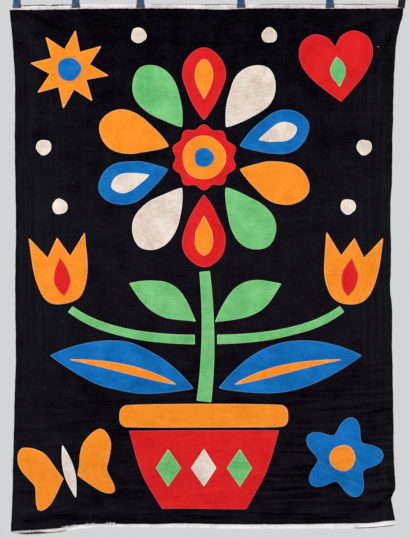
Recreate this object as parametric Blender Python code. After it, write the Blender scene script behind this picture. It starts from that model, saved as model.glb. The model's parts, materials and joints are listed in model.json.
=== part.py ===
"""An applique wall hanging: bright cotton pieces sewn on a black ground, hung from six clips.

Metres, +Z up. The cloth faces -Y. The origin is on the hang line, the line of the clips' tops.
A depth is a distance below the top edge of the ground cloth, and a stand is how far the hung
cloth comes forward of the plane in which its top edge hangs.

The hung surface is made of flat triangles over one square grid. Every cloth piece is cut along
that grid's lines, so pieces that lie on each other share their facets and stay one gap apart.
"""

import math
from collections import namedtuple

import bmesh
import bpy
from mathutils import Matrix, Vector

# Cloth
GROUND_THICKNESS = 0.0012
PIECE_THICKNESS = 0.0010
TAPE_THICKNESS = 0.0010
GAP = 0.0003
TAPE_LAP = 0.026
LAP_DRAWN_IN = 0.006
CELL = 0.060

# Clips
CLIP_BOTTOM_DEPTH = -0.004
CLIP_HEIGHT = 0.058
CLIP_WIDTH = 0.026
CLIP_FOOT_WIDTH = 0.030
CLIP_FOOT_HEIGHT = 0.007
CLIP_SHOULDER = 0.004
CLIP_THICKNESS = 0.0064
CLIP_SLOT_CEILING_DEPTH = -0.016
NARROW_CLIP_WIDTH = 0.024
NARROW_CLIP_FOOT_WIDTH = 0.014

CLOTH_TOP = -CLIP_HEIGHT + CLIP_BOTTOM_DEPTH

# The ground's own edges, uneven as it hangs: the sides draw in at the waist of the cloth
Edge = namedtuple("Edge", "depth x")
LEFT_EDGE = (
    Edge(0.002, -0.661),
    Edge(0.053, -0.6565),
    Edge(0.110, -0.6505),
    Edge(0.175, -0.6470),
    Edge(0.216, -0.6435),
    Edge(0.460, -0.6437),
    Edge(0.563, -0.6423),
    Edge(0.746, -0.6402),
    Edge(0.828, -0.6415),
    Edge(0.889, -0.6425),
    Edge(1.012, -0.6422),
    Edge(1.216, -0.6402),
    Edge(1.298, -0.6435),
    Edge(1.358, -0.6447),
    Edge(1.481, -0.6477),
    Edge(1.583, -0.6506),
    Edge(1.644, -0.6514),
    Edge(1.776, -0.656),
)
RIGHT_EDGE = (
    Edge(-0.002, 0.678),
    Edge(0.027, 0.675),
    Edge(0.055, 0.666),
    Edge(0.105, 0.655),
    Edge(0.195, 0.648),
    Edge(0.300, 0.644),
    Edge(0.380, 0.6430),
    Edge(0.420, 0.6412),
    Edge(0.583, 0.6398),
    Edge(0.650, 0.6355),
    Edge(0.726, 0.6345),
    Edge(0.787, 0.6360),
    Edge(0.869, 0.6359),
    Edge(0.950, 0.6335),
    Edge(1.012, 0.6390),
    Edge(1.052, 0.6404),
    Edge(1.134, 0.6393),
    Edge(1.180, 0.6408),
    Edge(1.277, 0.6421),
    Edge(1.400, 0.6440),
    Edge(1.522, 0.6450),
    Edge(1.603, 0.6495),
    Edge(1.634, 0.6495),
    Edge(1.661, 0.6350),
    Edge(1.692, 0.6405),
    Edge(1.737, 0.649),
)
TOP_EDGE = (
    Edge(0.002, -0.560),
    Edge(-0.002, -0.340),
    Edge(-0.002, -0.060),
    Edge(0.001, 0.030),
    Edge(0.000, 0.080),
    Edge(-0.003, 0.150),
    Edge(-0.002, 0.420),
    Edge(-0.003, 0.620),
)
BOTTOM_EDGE = (
    Edge(1.7730, -0.625),
    Edge(1.7702, -0.590),
    Edge(1.7680, -0.542),
    Edge(1.7643, -0.495),
    Edge(1.7580, -0.447),
    Edge(1.7512, -0.395),
    Edge(1.7510, -0.300),
    Edge(1.752, -0.160),
    Edge(1.750, -0.066),
    Edge(1.752, 0.030),
    Edge(1.752, 0.260),
    Edge(1.7490, 0.410),
    Edge(1.7475, 0.460),
    Edge(1.7464, 0.550),
    Edge(1.7400, 0.600),
)

# The tapes behind the ground: the edge of each that shows
TOP_TAPE_EDGE = (
    Edge(-0.012, -0.655),
    Edge(-0.014, -0.430),
    Edge(-0.013, -0.100),
    Edge(-0.014, 0.260),
    Edge(-0.014, 0.677),
)
FOOT_TAPE_EDGE = (
    Edge(1.779, -0.653),
    Edge(1.785, -0.610),
    Edge(1.784, -0.545),
    Edge(1.780, -0.495),
    Edge(1.771, -0.447),
    Edge(1.765, -0.400),
    Edge(1.7630, -0.340),
    Edge(1.766, -0.066),
    Edge(1.768, 0.030),
    Edge(1.768, 0.219),
    Edge(1.766, 0.400),
    Edge(1.764, 0.553),
    Edge(1.7605, 0.600),
    Edge(1.7560, 0.648),
)

# Soft folds: each is a ridge, or a trough where its height is negative, along a line
Fold = namedtuple("Fold", "name x1 depth1 x2 depth2 half_width height")
FOLDS = (
    Fold("left corner drag", -0.650, 0.010, -0.380, 0.300, 0.060, 0.007),
    Fold("left corner trough", -0.590, 0.020, -0.470, 0.080, 0.040, -0.006),
    Fold("right corner drag", 0.660, 0.010, 0.440, 0.240, 0.055, 0.007),
    Fold("right corner trough", 0.600, 0.030, 0.450, 0.110, 0.040, -0.005),
    Fold("left waist", -0.640, 0.350, -0.630, 1.150, 0.055, -0.008),
    Fold("right waist", 0.640, 0.400, 0.630, 1.200, 0.055, -0.009),
    Fold("left column", -0.330, 0.500, -0.300, 1.500, 0.110, 0.006),
    Fold("middle hollow", 0.060, 0.300, 0.020, 1.350, 0.150, -0.005),
    Fold("right column", 0.380, 0.450, 0.360, 1.450, 0.110, 0.006),
    Fold("foot ridge", -0.560, 1.500, 0.420, 1.560, 0.060, 0.004),
    Fold("foot trough", -0.600, 1.640, 0.520, 1.650, 0.050, -0.004),
    Fold("notch tuck", 0.645, 1.655, 0.500, 1.720, 0.042, 0.008),
    Fold("left hem crease", -0.650, 1.646, -0.540, 1.640, 0.040, -0.005),
    Fold("left foot curl", -0.650, 1.774, -0.440, 1.760, 0.060, 0.009),
    Fold("right foot curl", 0.640, 1.720, 0.560, 1.500, 0.050, 0.006),
)
HANG_RAMP = 0.120

# Slow waves of the whole cloth: how high, and how long across and down
Swell = namedtuple("Swell", "height across down shift")
SWELLS = (
    Swell(0.0035, 0.95, 2.4, 0.6),
    Swell(0.0025, -1.9, 0.70, 1.1),
)

# The pull of the clips
CLIP_PULL = 0.004
CLIP_PULL_REACH = 0.150
CLIP_PULL_DEPTH = 0.320

# Colours as they show on the object, 8 bits a channel
COLOURS = {
    "black": (17, 15, 20),
    "red": (214, 32, 38),
    "orange": (243, 138, 38),
    "blue": (15, 106, 180),
    "green": (106, 190, 112),
    "white": (226, 212, 200),
    "tape": (216, 212, 212),
    "clip_blue": (58, 92, 142),
    "clip_black": (36, 36, 42),
}

Clip = namedtuple("Clip", "x width foot_width colour")
BLUE_CLIP_X = (-0.636, -0.436, -0.216, 0.126, 0.428)
CLIPS = tuple(Clip(x, CLIP_WIDTH, CLIP_FOOT_WIDTH, "clip_blue") for x in BLUE_CLIP_X) + (
    Clip(0.670, NARROW_CLIP_WIDTH, NARROW_CLIP_FOOT_WIDTH, "clip_black"),
)

# The design: a plant in a pot, with small motifs around it. Places are (x, depth)
FLOWER_CENTRE = (0.0, 0.505)
PETAL_COLOURS = ("red", "white", "blue", "orange", "green") * 2
PETAL_START = 0.128
DROP_START = 0.196
DROP_ON = {"red": "orange", "blue": "white"}
FLOWER_SCALLOP_RADIUS = 0.112
FLOWER_DISC_RADIUS = 0.074
FLOWER_DOT_RADIUS = 0.033

# Leaves, petals and drops. Peak is where each is widest, from 0 at its start to 1 at its tip,
# its ends are rounder where blunt is under 1, and bend bows it to one side
Leaf = namedtuple("Leaf", "length width peak blunt bend steps")
PETAL = Leaf(0.246, 0.146, 0.64, 0.54, 0.0, 13)
PETAL_DROP = Leaf(0.136, 0.064, 0.64, 0.58, 0.0, 9)
SMALL_LEAF = Leaf(0.262, 0.112, 0.52, 1.0, -0.012, 9)
LARGE_LEAF = Leaf(0.500, 0.166, 0.50, 0.90, -0.020, 12)
LEAF_RIB = Leaf(0.390, 0.030, 0.40, 1.0, -0.014, 7)
TULIP_DROP = Leaf(0.130, 0.056, 0.45, 1.0, 0.0, 7)
HEART_DROP = Leaf(0.110, 0.054, 0.60, 1.0, 0.0, 7)
BUTTERFLY_BODY = Leaf(0.190, 0.038, 0.50, 1.0, 0.0, 7)

# Leaves in pairs: the one on the right, and its mirror image on the left
LeafPair = namedtuple("LeafPair", "name leaf x depth turn colour layer")
LEAF_PAIRS = (
    LeafPair("small_leaf", SMALL_LEAF, 0.032, 1.064, 60, "green", 1),
    LeafPair("leaf", LARGE_LEAF, 0.042, 1.290, 77, "blue", 1),
    LeafPair("leaf_rib", LEAF_RIB, 0.096, 1.278, 77, "orange", 2),
    LeafPair("tulip_drop", TULIP_DROP, 0.482, 0.976, 6, "red", 2),
)
PLANT_MIDDLE = 0.006

# Stems: from start, leaning towards pull, to end. Points are (x, height) from the stem's place
Stem = namedtuple("Stem", "start pull end start_width end_width")
STEM = Stem((0, 0), (0.026, 0.220), (0.002, 0.442), 0.050, 0.036)
STEM_PLACE = (0.0, 1.334)
SIDE_STEM = Stem((0, 0), (0.290, 0.004), (0.424, 0.104), 0.032, 0.025)
SIDE_STEM_PLACE = (0.038, 1.124)

TULIP_SIZE = (0.194, 0.236)
TULIP_PLACE = (0.482, 1.002)
TULIP_TURN = 6
POT_SIZE = (0.510, 0.268)
POT_PLACE = (0.0, 1.700)
RIM_SIZE = (0.572, 0.074)
RIM_RADIUS = 0.026
RIM_PLACE = (0.0, 1.420)
LOZENGE_SIZE = (0.086, 0.130)
LOZENGE_DEPTH = 1.560
Lozenge = namedtuple("Lozenge", "name x colour")
LOZENGES = (
    Lozenge("lozenge_left", -0.122, "green"),
    Lozenge("lozenge_middle", 0.0, "white"),
    Lozenge("lozenge_right", 0.122, "green"),
)

STAR_PLACE = (-0.458, 0.205)
STAR_POINTS = 8
STAR_REACH = (0.136, 0.070)
STAR_TURN = 9
STAR_DISC_RADIUS = 0.040
HEART_PLACE = (0.466, 0.318)
HEART_SIZE = (0.252, 0.240)
HEART_TURN = -6
HEART_DROP_RISE = 0.044
BUTTERFLY_PLACE = (-0.458, 1.572)
BUTTERFLY_TURN = -14
WING_SIZE = (0.136, 0.230)
WING_START = 0.026
BLOSSOM_PLACE = (0.470, 1.525)
BLOSSOM_RADIUS = 0.140
BLOSSOM_DIP = 0.056
BLOSSOM_TURN = 14
BLOSSOM_DISC_RADIUS = 0.044
DOT_RADIUS = 0.026
DOT_PLACES = ((0.222, 0.090), (0.545, 0.470), (0.490, 0.672))
SMALL_DISC_SIDES = 14
SIDES = ((-1, "left"), (1, "right"))


def smooth_step(t):
    t = min(max(t, 0.0), 1.0)
    return t * t * (3 - 2 * t)


def fold_stand(fold, x, depth):
    """How far one fold lifts the cloth at a place: full on its line, fading over its width."""
    start = Vector((fold.x1, fold.depth1))
    run = Vector((fold.x2, fold.depth2)) - start
    place = Vector((x, depth)) - start
    along = min(max(place.dot(run) / run.length_squared, 0.0), 1.0)
    away = (place - along * run).length / fold.half_width
    return fold.height * math.exp(-away * away)


def clip_stand(x, depth):
    """The cloth is drawn forward below each clip and falls back between clips."""
    nearest = min(abs(x - clip.x) for clip in CLIPS)
    swing = math.cos(math.pi * min(nearest / CLIP_PULL_REACH, 1.0))
    return CLIP_PULL * swing * math.exp(-depth / CLIP_PULL_DEPTH)


def swell_stand(swell, x, depth):
    """One long, slow wave of a large cloth that hangs free."""
    turns = x / swell.across + depth / swell.down
    return swell.height * math.sin(2 * math.pi * turns + swell.shift)


def hung_stand(x, depth):
    """The whole relief of the hung cloth. Its clipped top edge stays in one plane."""
    whole = clip_stand(x, depth)
    whole += sum(swell_stand(swell, x, depth) for swell in SWELLS)
    whole += sum(fold_stand(fold, x, depth) for fold in FOLDS)
    return whole * smooth_step(depth / HANG_RAMP)


def grid_stand(column, row):
    return hung_stand(column * CELL, row * CELL)


def facet_stand(x, z):
    """The relief on the flat facets between the grid's points."""
    across = x / CELL
    down = (CLOTH_TOP - z) / CELL
    column = math.floor(across)
    row = math.floor(down)
    across -= column
    down -= row
    right = grid_stand(column + 1, row)
    below = grid_stand(column, row + 1)
    if across + down <= 1:
        corner = grid_stand(column, row)
        return corner + across * (right - corner) + down * (below - corner)
    corner = grid_stand(column + 1, row + 1)
    return corner + (1 - across) * (below - corner) + (1 - down) * (right - corner)


def material(colour):
    """A plain finish: matt cotton, or smooth plastic for a clip."""
    if colour in bpy.data.materials:
        return bpy.data.materials[colour]
    made = bpy.data.materials.new(colour)
    made.use_nodes = True
    shader = made.node_tree.nodes["Principled BSDF"]
    linear = [((c / 255 + 0.055) / 1.055) ** 2.4 for c in COLOURS[colour]]
    shader.inputs["Base Color"].default_value = (*linear, 1)
    shader.inputs["Metallic"].default_value = 0.0
    shader.inputs["Roughness"].default_value = 0.4 if colour.startswith("clip") else 0.9
    return made


def finish(name, bm, colour):
    """Turn a bmesh into a named object with its material."""
    bmesh.ops.recalc_face_normals(bm, faces=bm.faces)
    mesh = bpy.data.meshes.new(name)
    bm.to_mesh(mesh)
    bm.free()
    mesh.materials.append(material(colour))
    made = bpy.data.objects.new(name, mesh)
    bpy.context.scene.collection.objects.link(made)
    return made


def cut_along(bm, point, normal):
    everything = bm.verts[:] + bm.edges[:] + bm.faces[:]
    bmesh.ops.bisect_plane(bm, geom=everything, dist=1e-6, plane_co=point, plane_no=normal)


def cut_along_grid(bm):
    """Cut a flat outline along the grid's upright, level and slanting lines."""
    across = [v.co.x / CELL for v in bm.verts]
    down = [(CLOTH_TOP - v.co.z) / CELL for v in bm.verts]
    slant = [a + d for a, d in zip(across, down)]
    for column in range(math.ceil(min(across)), math.floor(max(across)) + 1):
        cut_along(bm, (column * CELL, 0, 0), (1, 0, 0))
    for row in range(math.ceil(min(down)), math.floor(max(down)) + 1):
        cut_along(bm, (0, 0, CLOTH_TOP - row * CELL), (0, 0, 1))
    for line in range(math.ceil(min(slant)), math.floor(max(slant)) + 1):
        cut_along(bm, (line * CELL, 0, CLOTH_TOP), (1, 0, -1))


def cloth(name, outline, front, thickness, colour):
    """Cloth of one thickness on the hung surface. The outline is a list of (x, depth), and
    front is how far its face lies in front of the back of the ground cloth."""
    bm = bmesh.new()
    bm.faces.new([bm.verts.new((x, 0, CLOTH_TOP - depth)) for x, depth in outline])
    cut_along_grid(bm)
    for v in bm.verts:
        v.co.y = -facet_stand(v.co.x, v.co.z) - front
    walls = bmesh.ops.extrude_face_region(bm, geom=bm.faces[:])
    back = [v for v in walls["geom"] if isinstance(v, bmesh.types.BMVert)]
    bmesh.ops.translate(bm, verts=back, vec=(0, thickness, 0))
    return finish(name, bm, colour)


def hand_cut(outline, seed, amount=0.0012):
    """Scissors wander a little: move each point in or out by a slow wave."""
    middle = sum((Vector(p) for p in outline), Vector((0, 0))) / len(outline)
    cut = []
    for x, depth in outline:
        out = Vector((x, depth)) - middle
        turn = math.atan2(out.y, out.x)
        wander = math.sin(3 * turn + seed) + 0.6 * math.sin(5 * turn + 2.3 * seed)
        cut.append(Vector((x, depth)) + out.normalized() * amount * wander)
    return cut


def piece(name, shape, at, colour, turn=0.0, layer=1):
    """An applique piece. Its shape has y up, turn is clockwise degrees, and at is (x, depth).
    Layer 1 lies on the ground, and layer 2 on a piece of layer 1."""
    turned = Matrix.Rotation(math.radians(-turn), 2)
    placed = [turned @ Vector(p) for p in shape]
    outline = [(at[0] + p.x, at[1] - p.y) for p in placed]
    front = GROUND_THICKNESS + layer * (GAP + PIECE_THICKNESS)
    return cloth(name, hand_cut(outline, seed=sum(at) * 40), front, PIECE_THICKNESS, colour)


# Shapes, each a list of (x, y) with y up
def disc(radius, sides=18):
    turns = [2 * math.pi * k / sides for k in range(sides)]
    return [(radius * math.cos(t), radius * math.sin(t)) for t in turns]


def scalloped(radius, dip, lobes, sides):
    """A disc with round lobes."""
    turns = [2 * math.pi * k / sides for k in range(sides)]
    reach = [radius - dip / 2 + dip / 2 * math.cos(lobes * t) for t in turns]
    return [(r * math.sin(t), r * math.cos(t)) for r, t in zip(reach, turns)]


def leaf_shape(leaf, side=1, rise=0.0):
    """A leaf that starts at rise above the origin and points up. Side -1 mirrors its bend."""
    power = math.log(0.5) / math.log(leaf.peak)
    right, left = [], []
    for k in range(leaf.steps + 1):
        along = (1 - math.cos(math.pi * k / leaf.steps)) / 2
        swell = math.sin(math.pi * along**power) if 0 < k < leaf.steps else 0
        half = leaf.width / 2 * swell**leaf.blunt
        middle = side * leaf.bend * 4 * along * (1 - along)
        right.append((middle + half, rise + leaf.length * along))
        left.append((middle - half, rise + leaf.length * along))
    return right + left[-2:0:-1]


def stem_shape(stem, side=1, steps=6):
    """A stem along one bow. Side -1 mirrors it."""
    start, pull, end = (Vector((side * x, y)) for x, y in (stem.start, stem.pull, stem.end))
    right, left = [], []
    for k in range(steps + 1):
        t = k / steps
        middle = (1 - t) ** 2 * start + 2 * t * (1 - t) * pull + t * t * end
        run = ((1 - t) * (pull - start) + t * (end - pull)).normalized()
        width = stem.start_width + t * (stem.end_width - stem.start_width)
        across = Vector((run.y, -run.x)) * width / 2
        right.append(middle + across)
        left.append(middle - across)
    return [tuple(p) for p in right + left[::-1]]


def star(points, reach):
    """A star whose points and notches lie at the two reaches from its middle."""
    turns = [math.pi * k / points for k in range(2 * points)]
    return [(reach[k % 2] * math.sin(t), reach[k % 2] * math.cos(t)) for k, t in enumerate(turns)]


def lozenge(width, height):
    return [(0, -height / 2), (width / 2, 0), (0, height / 2), (-width / 2, 0)]


def bar(width, height, radius, steps=4):
    """A level bar that stands on the origin, with rounded corners."""
    outline = []
    for quarter, (side, rise) in enumerate(((1, 1), (-1, 1), (-1, -1), (1, -1))):
        x = side * (width / 2 - radius)
        y = height / 2 + rise * (height / 2 - radius)
        for step in range(steps + 1):
            turn = math.pi / 2 * (quarter + step / steps)
            outline.append((x + radius * math.cos(turn), y + radius * math.sin(turn)))
    return outline


Knot = namedtuple("Knot", "x y corner")


def through(knots, width, height, steps=3):
    """A closed outline through knots given as shares of the width and height. It is a smooth
    curve, but for the knots that are corners."""
    count = len(knots)
    places = [Vector((knot.x * width, knot.y * height)) for knot in knots]
    outline = []
    for k in range(count):
        here, there = places[k], places[(k + 1) % count]
        before = 2 * here - there if knots[k].corner else places[k - 1]
        after = 2 * there - here if knots[(k + 1) % count].corner else places[(k + 2) % count]
        straight = knots[k].corner and knots[(k + 1) % count].corner
        for step in range(1 if straight else steps):
            t = step / steps
            bow = (2 * before - 5 * here + 4 * there - after) * t**2
            twist = (3 * here - before - 3 * there + after) * t**3
            outline.append(tuple((2 * here + (there - before) * t + bow + twist) / 2))
    return outline


def mirrored_knots(half):
    """The whole outline of a shape from its right half, which runs from bottom to top."""
    left = [Knot(-knot.x, knot.y, knot.corner) for knot in reversed(half) if knot.x > 0]
    return list(half) + left


HEART = mirrored_knots((
    Knot(0.0, 0.0, True),
    Knot(0.32, 0.33, False),
    Knot(0.49, 0.62, False),
    Knot(0.46, 0.88, False),
    Knot(0.28, 1.0, False),
    Knot(0.09, 0.93, False),
    Knot(0.0, 0.78, True),
))
TULIP = mirrored_knots((
    Knot(0.0, 0.0, False),
    Knot(0.30, 0.08, False),
    Knot(0.46, 0.40, False),
    Knot(0.50, 1.0, True),
    Knot(0.20, 0.68, True),
    Knot(0.0, 0.96, True),
))
POT = mirrored_knots((
    Knot(0.0, 0.0, False),
    Knot(0.28, 0.0, True),
    Knot(0.42, 0.48, False),
    Knot(0.50, 1.0, True),
))
WING = (
    Knot(0.0, 0.42, True),
    Knot(0.45, 0.10, False),
    Knot(0.80, 0.06, False),
    Knot(0.74, 0.40, True),
    Knot(1.0, 0.76, False),
    Knot(0.82, 1.0, False),
    Knot(0.30, 0.84, False),
)


def on_flower(angle, reach):
    """A place on the flower, from its centre out, clockwise from the top."""
    x = FLOWER_CENTRE[0] + reach * math.sin(math.radians(angle))
    return x, FLOWER_CENTRE[1] - reach * math.cos(math.radians(angle))


def make_ground():
    top = [(e.x, e.depth) for e in TOP_EDGE]
    right = [(e.x, e.depth) for e in RIGHT_EDGE]
    bottom = [(e.x, e.depth) for e in reversed(BOTTOM_EDGE)]
    left = [(e.x, e.depth) for e in reversed(LEFT_EDGE)]
    cloth("ground_cloth", top + right + bottom + left, GROUND_THICKNESS, GROUND_THICKNESS, "black")


def make_tapes():
    """White tapes behind the ground. Each shows past its edge and laps up or down behind it."""
    shown = [(e.x, e.depth) for e in TOP_TAPE_EDGE]
    first, last = TOP_TAPE_EDGE[0], TOP_TAPE_EDGE[-1]
    hidden = [(last.x - LAP_DRAWN_IN, TAPE_LAP), (first.x + LAP_DRAWN_IN, TAPE_LAP)]
    cloth("top_tape", shown + hidden, -GAP, TAPE_THICKNESS, "tape")
    shown = [(e.x, e.depth) for e in reversed(FOOT_TAPE_EDGE)]
    first, last = LEFT_EDGE[-1], RIGHT_EDGE[-1]
    lapped = (first,) + BOTTOM_EDGE + (last,)
    hidden = [(e.x, e.depth - TAPE_LAP) for e in lapped]
    hidden[0] = (first.x + LAP_DRAWN_IN, hidden[0][1])
    hidden[-1] = (last.x - LAP_DRAWN_IN, hidden[-1][1])
    cloth("foot_tape", shown + hidden, -GAP, TAPE_THICKNESS, "tape")


def make_clip(name, clip):
    """A plain spring clip: a bar folded at its closed top, open below where it grips the tape."""
    middle = GAP + TAPE_THICKNESS / 2
    half = CLIP_THICKNESS / 2
    slot = TAPE_THICKNESS / 2 + GAP
    bottom = CLOTH_TOP - CLIP_BOTTOM_DEPTH
    ceiling = CLOTH_TOP - CLIP_SLOT_CEILING_DEPTH
    shoulder = bottom + CLIP_FOOT_HEIGHT
    fold_turns = [math.pi * k / 6 for k in range(7)]
    fold = [(middle + half * math.cos(t), -half + half * math.sin(t)) for t in fold_turns]
    jaws = [
        (middle - half, bottom),
        (middle - slot, bottom),
        (middle - slot, ceiling),
        (middle + slot, ceiling),
        (middle + slot, bottom),
        (middle + half, bottom),
    ]
    bm = bmesh.new()
    profile = bm.faces.new([bm.verts.new((-clip.width / 2, y, z)) for y, z in fold + jaws])
    walls = bmesh.ops.extrude_face_region(bm, geom=[profile])
    far = [v for v in walls["geom"] if isinstance(v, bmesh.types.BMVert)]
    bmesh.ops.translate(bm, verts=far, vec=(clip.width, 0, 0))
    cut_along(bm, (0, 0, shoulder), (0, 0, 1))
    cut_along(bm, (0, 0, shoulder + CLIP_SHOULDER), (0, 0, 1))
    foot = [v for v in bm.verts if v.co.z < shoulder + 1e-5]
    bmesh.ops.scale(bm, verts=foot, vec=(clip.foot_width / clip.width, 1, 1))
    bmesh.ops.translate(bm, verts=bm.verts, vec=(clip.x, 0, 0))
    finish(name, bm, clip.colour)


def make_flower():
    drops = 0
    for k, colour in enumerate(PETAL_COLOURS):
        angle = 360 * k / len(PETAL_COLOURS)
        place = on_flower(angle, PETAL_START)
        piece(f"petal_{k + 1:02}", leaf_shape(PETAL), place, colour, turn=angle)
        if colour in DROP_ON:
            drops += 1
            place = on_flower(angle, DROP_START)
            name = f"petal_drop_{drops}"
            piece(name, leaf_shape(PETAL_DROP), place, DROP_ON[colour], turn=angle, layer=2)
    scallop = scalloped(FLOWER_SCALLOP_RADIUS, 0.014, lobes=10, sides=60)
    piece("flower_scallop", scallop, FLOWER_CENTRE, "red")
    piece("flower_disc", disc(FLOWER_DISC_RADIUS), FLOWER_CENTRE, "orange", layer=2)
    dot = disc(FLOWER_DOT_RADIUS, SMALL_DISC_SIDES)
    piece("flower_dot", dot, FLOWER_CENTRE, "blue", layer=3)


def make_plant():
    piece("stem", stem_shape(STEM), STEM_PLACE, "green")
    for side, hand in SIDES:
        x = side * SIDE_STEM_PLACE[0] + PLANT_MIDDLE
        piece(f"side_stem_{hand}", stem_shape(SIDE_STEM, side), (x, SIDE_STEM_PLACE[1]), "green")
        x = side * TULIP_PLACE[0] + PLANT_MIDDLE
        tulip = through(TULIP, *TULIP_SIZE)
        piece(f"tulip_{hand}", tulip, (x, TULIP_PLACE[1]), "orange", turn=side * TULIP_TURN)
        for pair in LEAF_PAIRS:
            place = (side * pair.x + PLANT_MIDDLE, pair.depth)
            shape = leaf_shape(pair.leaf, side)
            name = f"{pair.name}_{hand}"
            piece(name, shape, place, pair.colour, turn=side * pair.turn, layer=pair.layer)


def make_pot():
    piece("pot_body", through(POT, *POT_SIZE), POT_PLACE, "red")
    piece("pot_rim", bar(*RIM_SIZE, RIM_RADIUS), RIM_PLACE, "orange")
    for row in LOZENGES:
        piece(row.name, lozenge(*LOZENGE_SIZE), (row.x, LOZENGE_DEPTH), row.colour, layer=2)


def make_star_and_heart():
    piece("star", star(STAR_POINTS, STAR_REACH), STAR_PLACE, "orange", turn=STAR_TURN)
    middle = disc(STAR_DISC_RADIUS, SMALL_DISC_SIDES)
    piece("star_disc", middle, STAR_PLACE, "blue", layer=2)
    heart = through(HEART, *HEART_SIZE, steps=2)
    piece("heart", heart, HEART_PLACE, "red", turn=HEART_TURN)
    drop = leaf_shape(HEART_DROP, rise=HEART_DROP_RISE)
    piece("heart_drop", drop, HEART_PLACE, "green", turn=HEART_TURN, layer=2)


def make_butterfly():
    wing = [(x + WING_START, y - WING_SIZE[1] / 2) for x, y in through(WING, *WING_SIZE)]
    for side, hand in SIDES:
        shape = [(side * x, y) for x, y in wing]
        piece(f"wing_{hand}", shape, BUTTERFLY_PLACE, "orange", turn=BUTTERFLY_TURN)
    body = leaf_shape(BUTTERFLY_BODY, rise=-BUTTERFLY_BODY.length / 2)
    piece("butterfly_body", body, BUTTERFLY_PLACE, "white", turn=BUTTERFLY_TURN)


def make_blossom_and_dots():
    blossom = scalloped(BLOSSOM_RADIUS, BLOSSOM_DIP, lobes=5, sides=40)
    piece("blossom", blossom, BLOSSOM_PLACE, "blue", turn=BLOSSOM_TURN)
    middle = disc(BLOSSOM_DISC_RADIUS, SMALL_DISC_SIDES)
    piece("blossom_disc", middle, BLOSSOM_PLACE, "orange", layer=2)
    dot = disc(DOT_RADIUS, SMALL_DISC_SIDES)
    for k, (x, depth) in enumerate(DOT_PLACES):
        piece(f"dot_{2 * k + 1}", dot, (-x, depth), "white")
        piece(f"dot_{2 * k + 2}", dot, (x, depth), "white")


def main():
    for old in list(bpy.data.objects):
        bpy.data.objects.remove(old)
    make_ground()
    make_tapes()
    for k, clip in enumerate(CLIPS):
        make_clip(f"clip_{k + 1}", clip)
    make_flower()
    make_plant()
    make_pot()
    make_star_and_heart()
    make_butterfly()
    make_blossom_and_dots()


main()
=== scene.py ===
# %% [markdown]
# ## An applique wall hanging, dressed over its solids
# The hanging is one black cotton cloth. Bright cotton pieces are sewn flat on it, a white tape runs
# behind its head and its foot, and six clips hold it up. The solids already have the right sizes
# and the slow swell of the hung cloth, so this lesson keeps them as a frame and makes the cloth on
# them: its fine creases, its hems, its turned edges, its thread and its weave.

# %% Load the frame
import json
import math
from collections import namedtuple

import bmesh
import bpy
import numpy as np
from mathutils import Matrix, Vector
from mathutils.bvhtree import BVHTree


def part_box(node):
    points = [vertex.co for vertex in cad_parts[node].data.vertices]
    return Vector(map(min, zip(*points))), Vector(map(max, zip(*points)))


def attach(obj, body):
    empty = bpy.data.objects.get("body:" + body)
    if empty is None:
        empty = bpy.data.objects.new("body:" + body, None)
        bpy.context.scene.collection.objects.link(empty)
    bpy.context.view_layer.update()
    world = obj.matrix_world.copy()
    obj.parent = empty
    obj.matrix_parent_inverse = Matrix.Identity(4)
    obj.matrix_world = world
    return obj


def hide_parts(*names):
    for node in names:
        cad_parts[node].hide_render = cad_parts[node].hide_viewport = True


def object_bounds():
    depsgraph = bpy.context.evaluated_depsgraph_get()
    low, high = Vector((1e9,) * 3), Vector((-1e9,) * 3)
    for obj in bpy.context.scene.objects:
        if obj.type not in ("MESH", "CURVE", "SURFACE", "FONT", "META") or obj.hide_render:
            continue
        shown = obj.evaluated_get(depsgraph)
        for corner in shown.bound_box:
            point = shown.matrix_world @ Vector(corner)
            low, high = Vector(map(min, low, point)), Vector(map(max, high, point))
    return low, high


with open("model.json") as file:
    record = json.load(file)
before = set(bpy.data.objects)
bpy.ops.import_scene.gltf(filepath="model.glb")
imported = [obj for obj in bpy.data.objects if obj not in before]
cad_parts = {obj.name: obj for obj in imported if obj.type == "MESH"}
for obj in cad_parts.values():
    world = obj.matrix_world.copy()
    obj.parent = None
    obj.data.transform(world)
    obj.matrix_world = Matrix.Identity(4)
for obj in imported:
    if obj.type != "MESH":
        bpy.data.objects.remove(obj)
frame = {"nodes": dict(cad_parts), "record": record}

solid_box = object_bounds()
solids = frame["nodes"]
slot_of = {part["node"]: part["material_slot"] for part in frame["record"]["subparts"]}
print(len(solids), "solids from", *[round(v, 3) for v in solid_box[0]])
print("to", *[round(v, 3) for v in solid_box[1]])

# %% [markdown]
# ## Read how the cloth hangs
# Every piece of cloth follows one hung surface. Rays from the front find it on the black cloth's
# solid, whose facets are 60 mm wide, and a blur of 20 mm turns the facets into one soft swell. One
# table of heights then serves all the cloth, so pieces that lie on each other never cross.

# %% Sample and soften the hung surface
CELL = 0.008
BLUR = 0.020
MARGIN = 0.03
CLOTH_TOP = -0.062
ground_mesh = solids["ground_cloth"].data
ground_tree = BVHTree.FromPolygons(
    [v.co for v in ground_mesh.vertices], [tuple(p.vertices) for p in ground_mesh.polygons]
)


def solid_front(x, z):
    """Where a ray from the front meets the black cloth's solid, or None where it passes."""
    return ground_tree.ray_cast(Vector((x, -1, z)), Vector((0, 1, 0)))[0]


def blurred(heights, reach):
    """Heights smoothed over a reach in metres, along both ways of the table."""
    cells = reach / CELL
    half = int(3 * cells)
    weights = np.exp(-0.5 * (np.arange(-half, half + 1) / cells) ** 2)
    weights /= weights.sum()
    for _ in range(2):
        padded = np.pad(heights, ((half, half), (0, 0)), mode="edge")
        heights = sum(w * padded[k : k + len(heights)] for k, w in enumerate(weights)).T
    return heights


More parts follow.
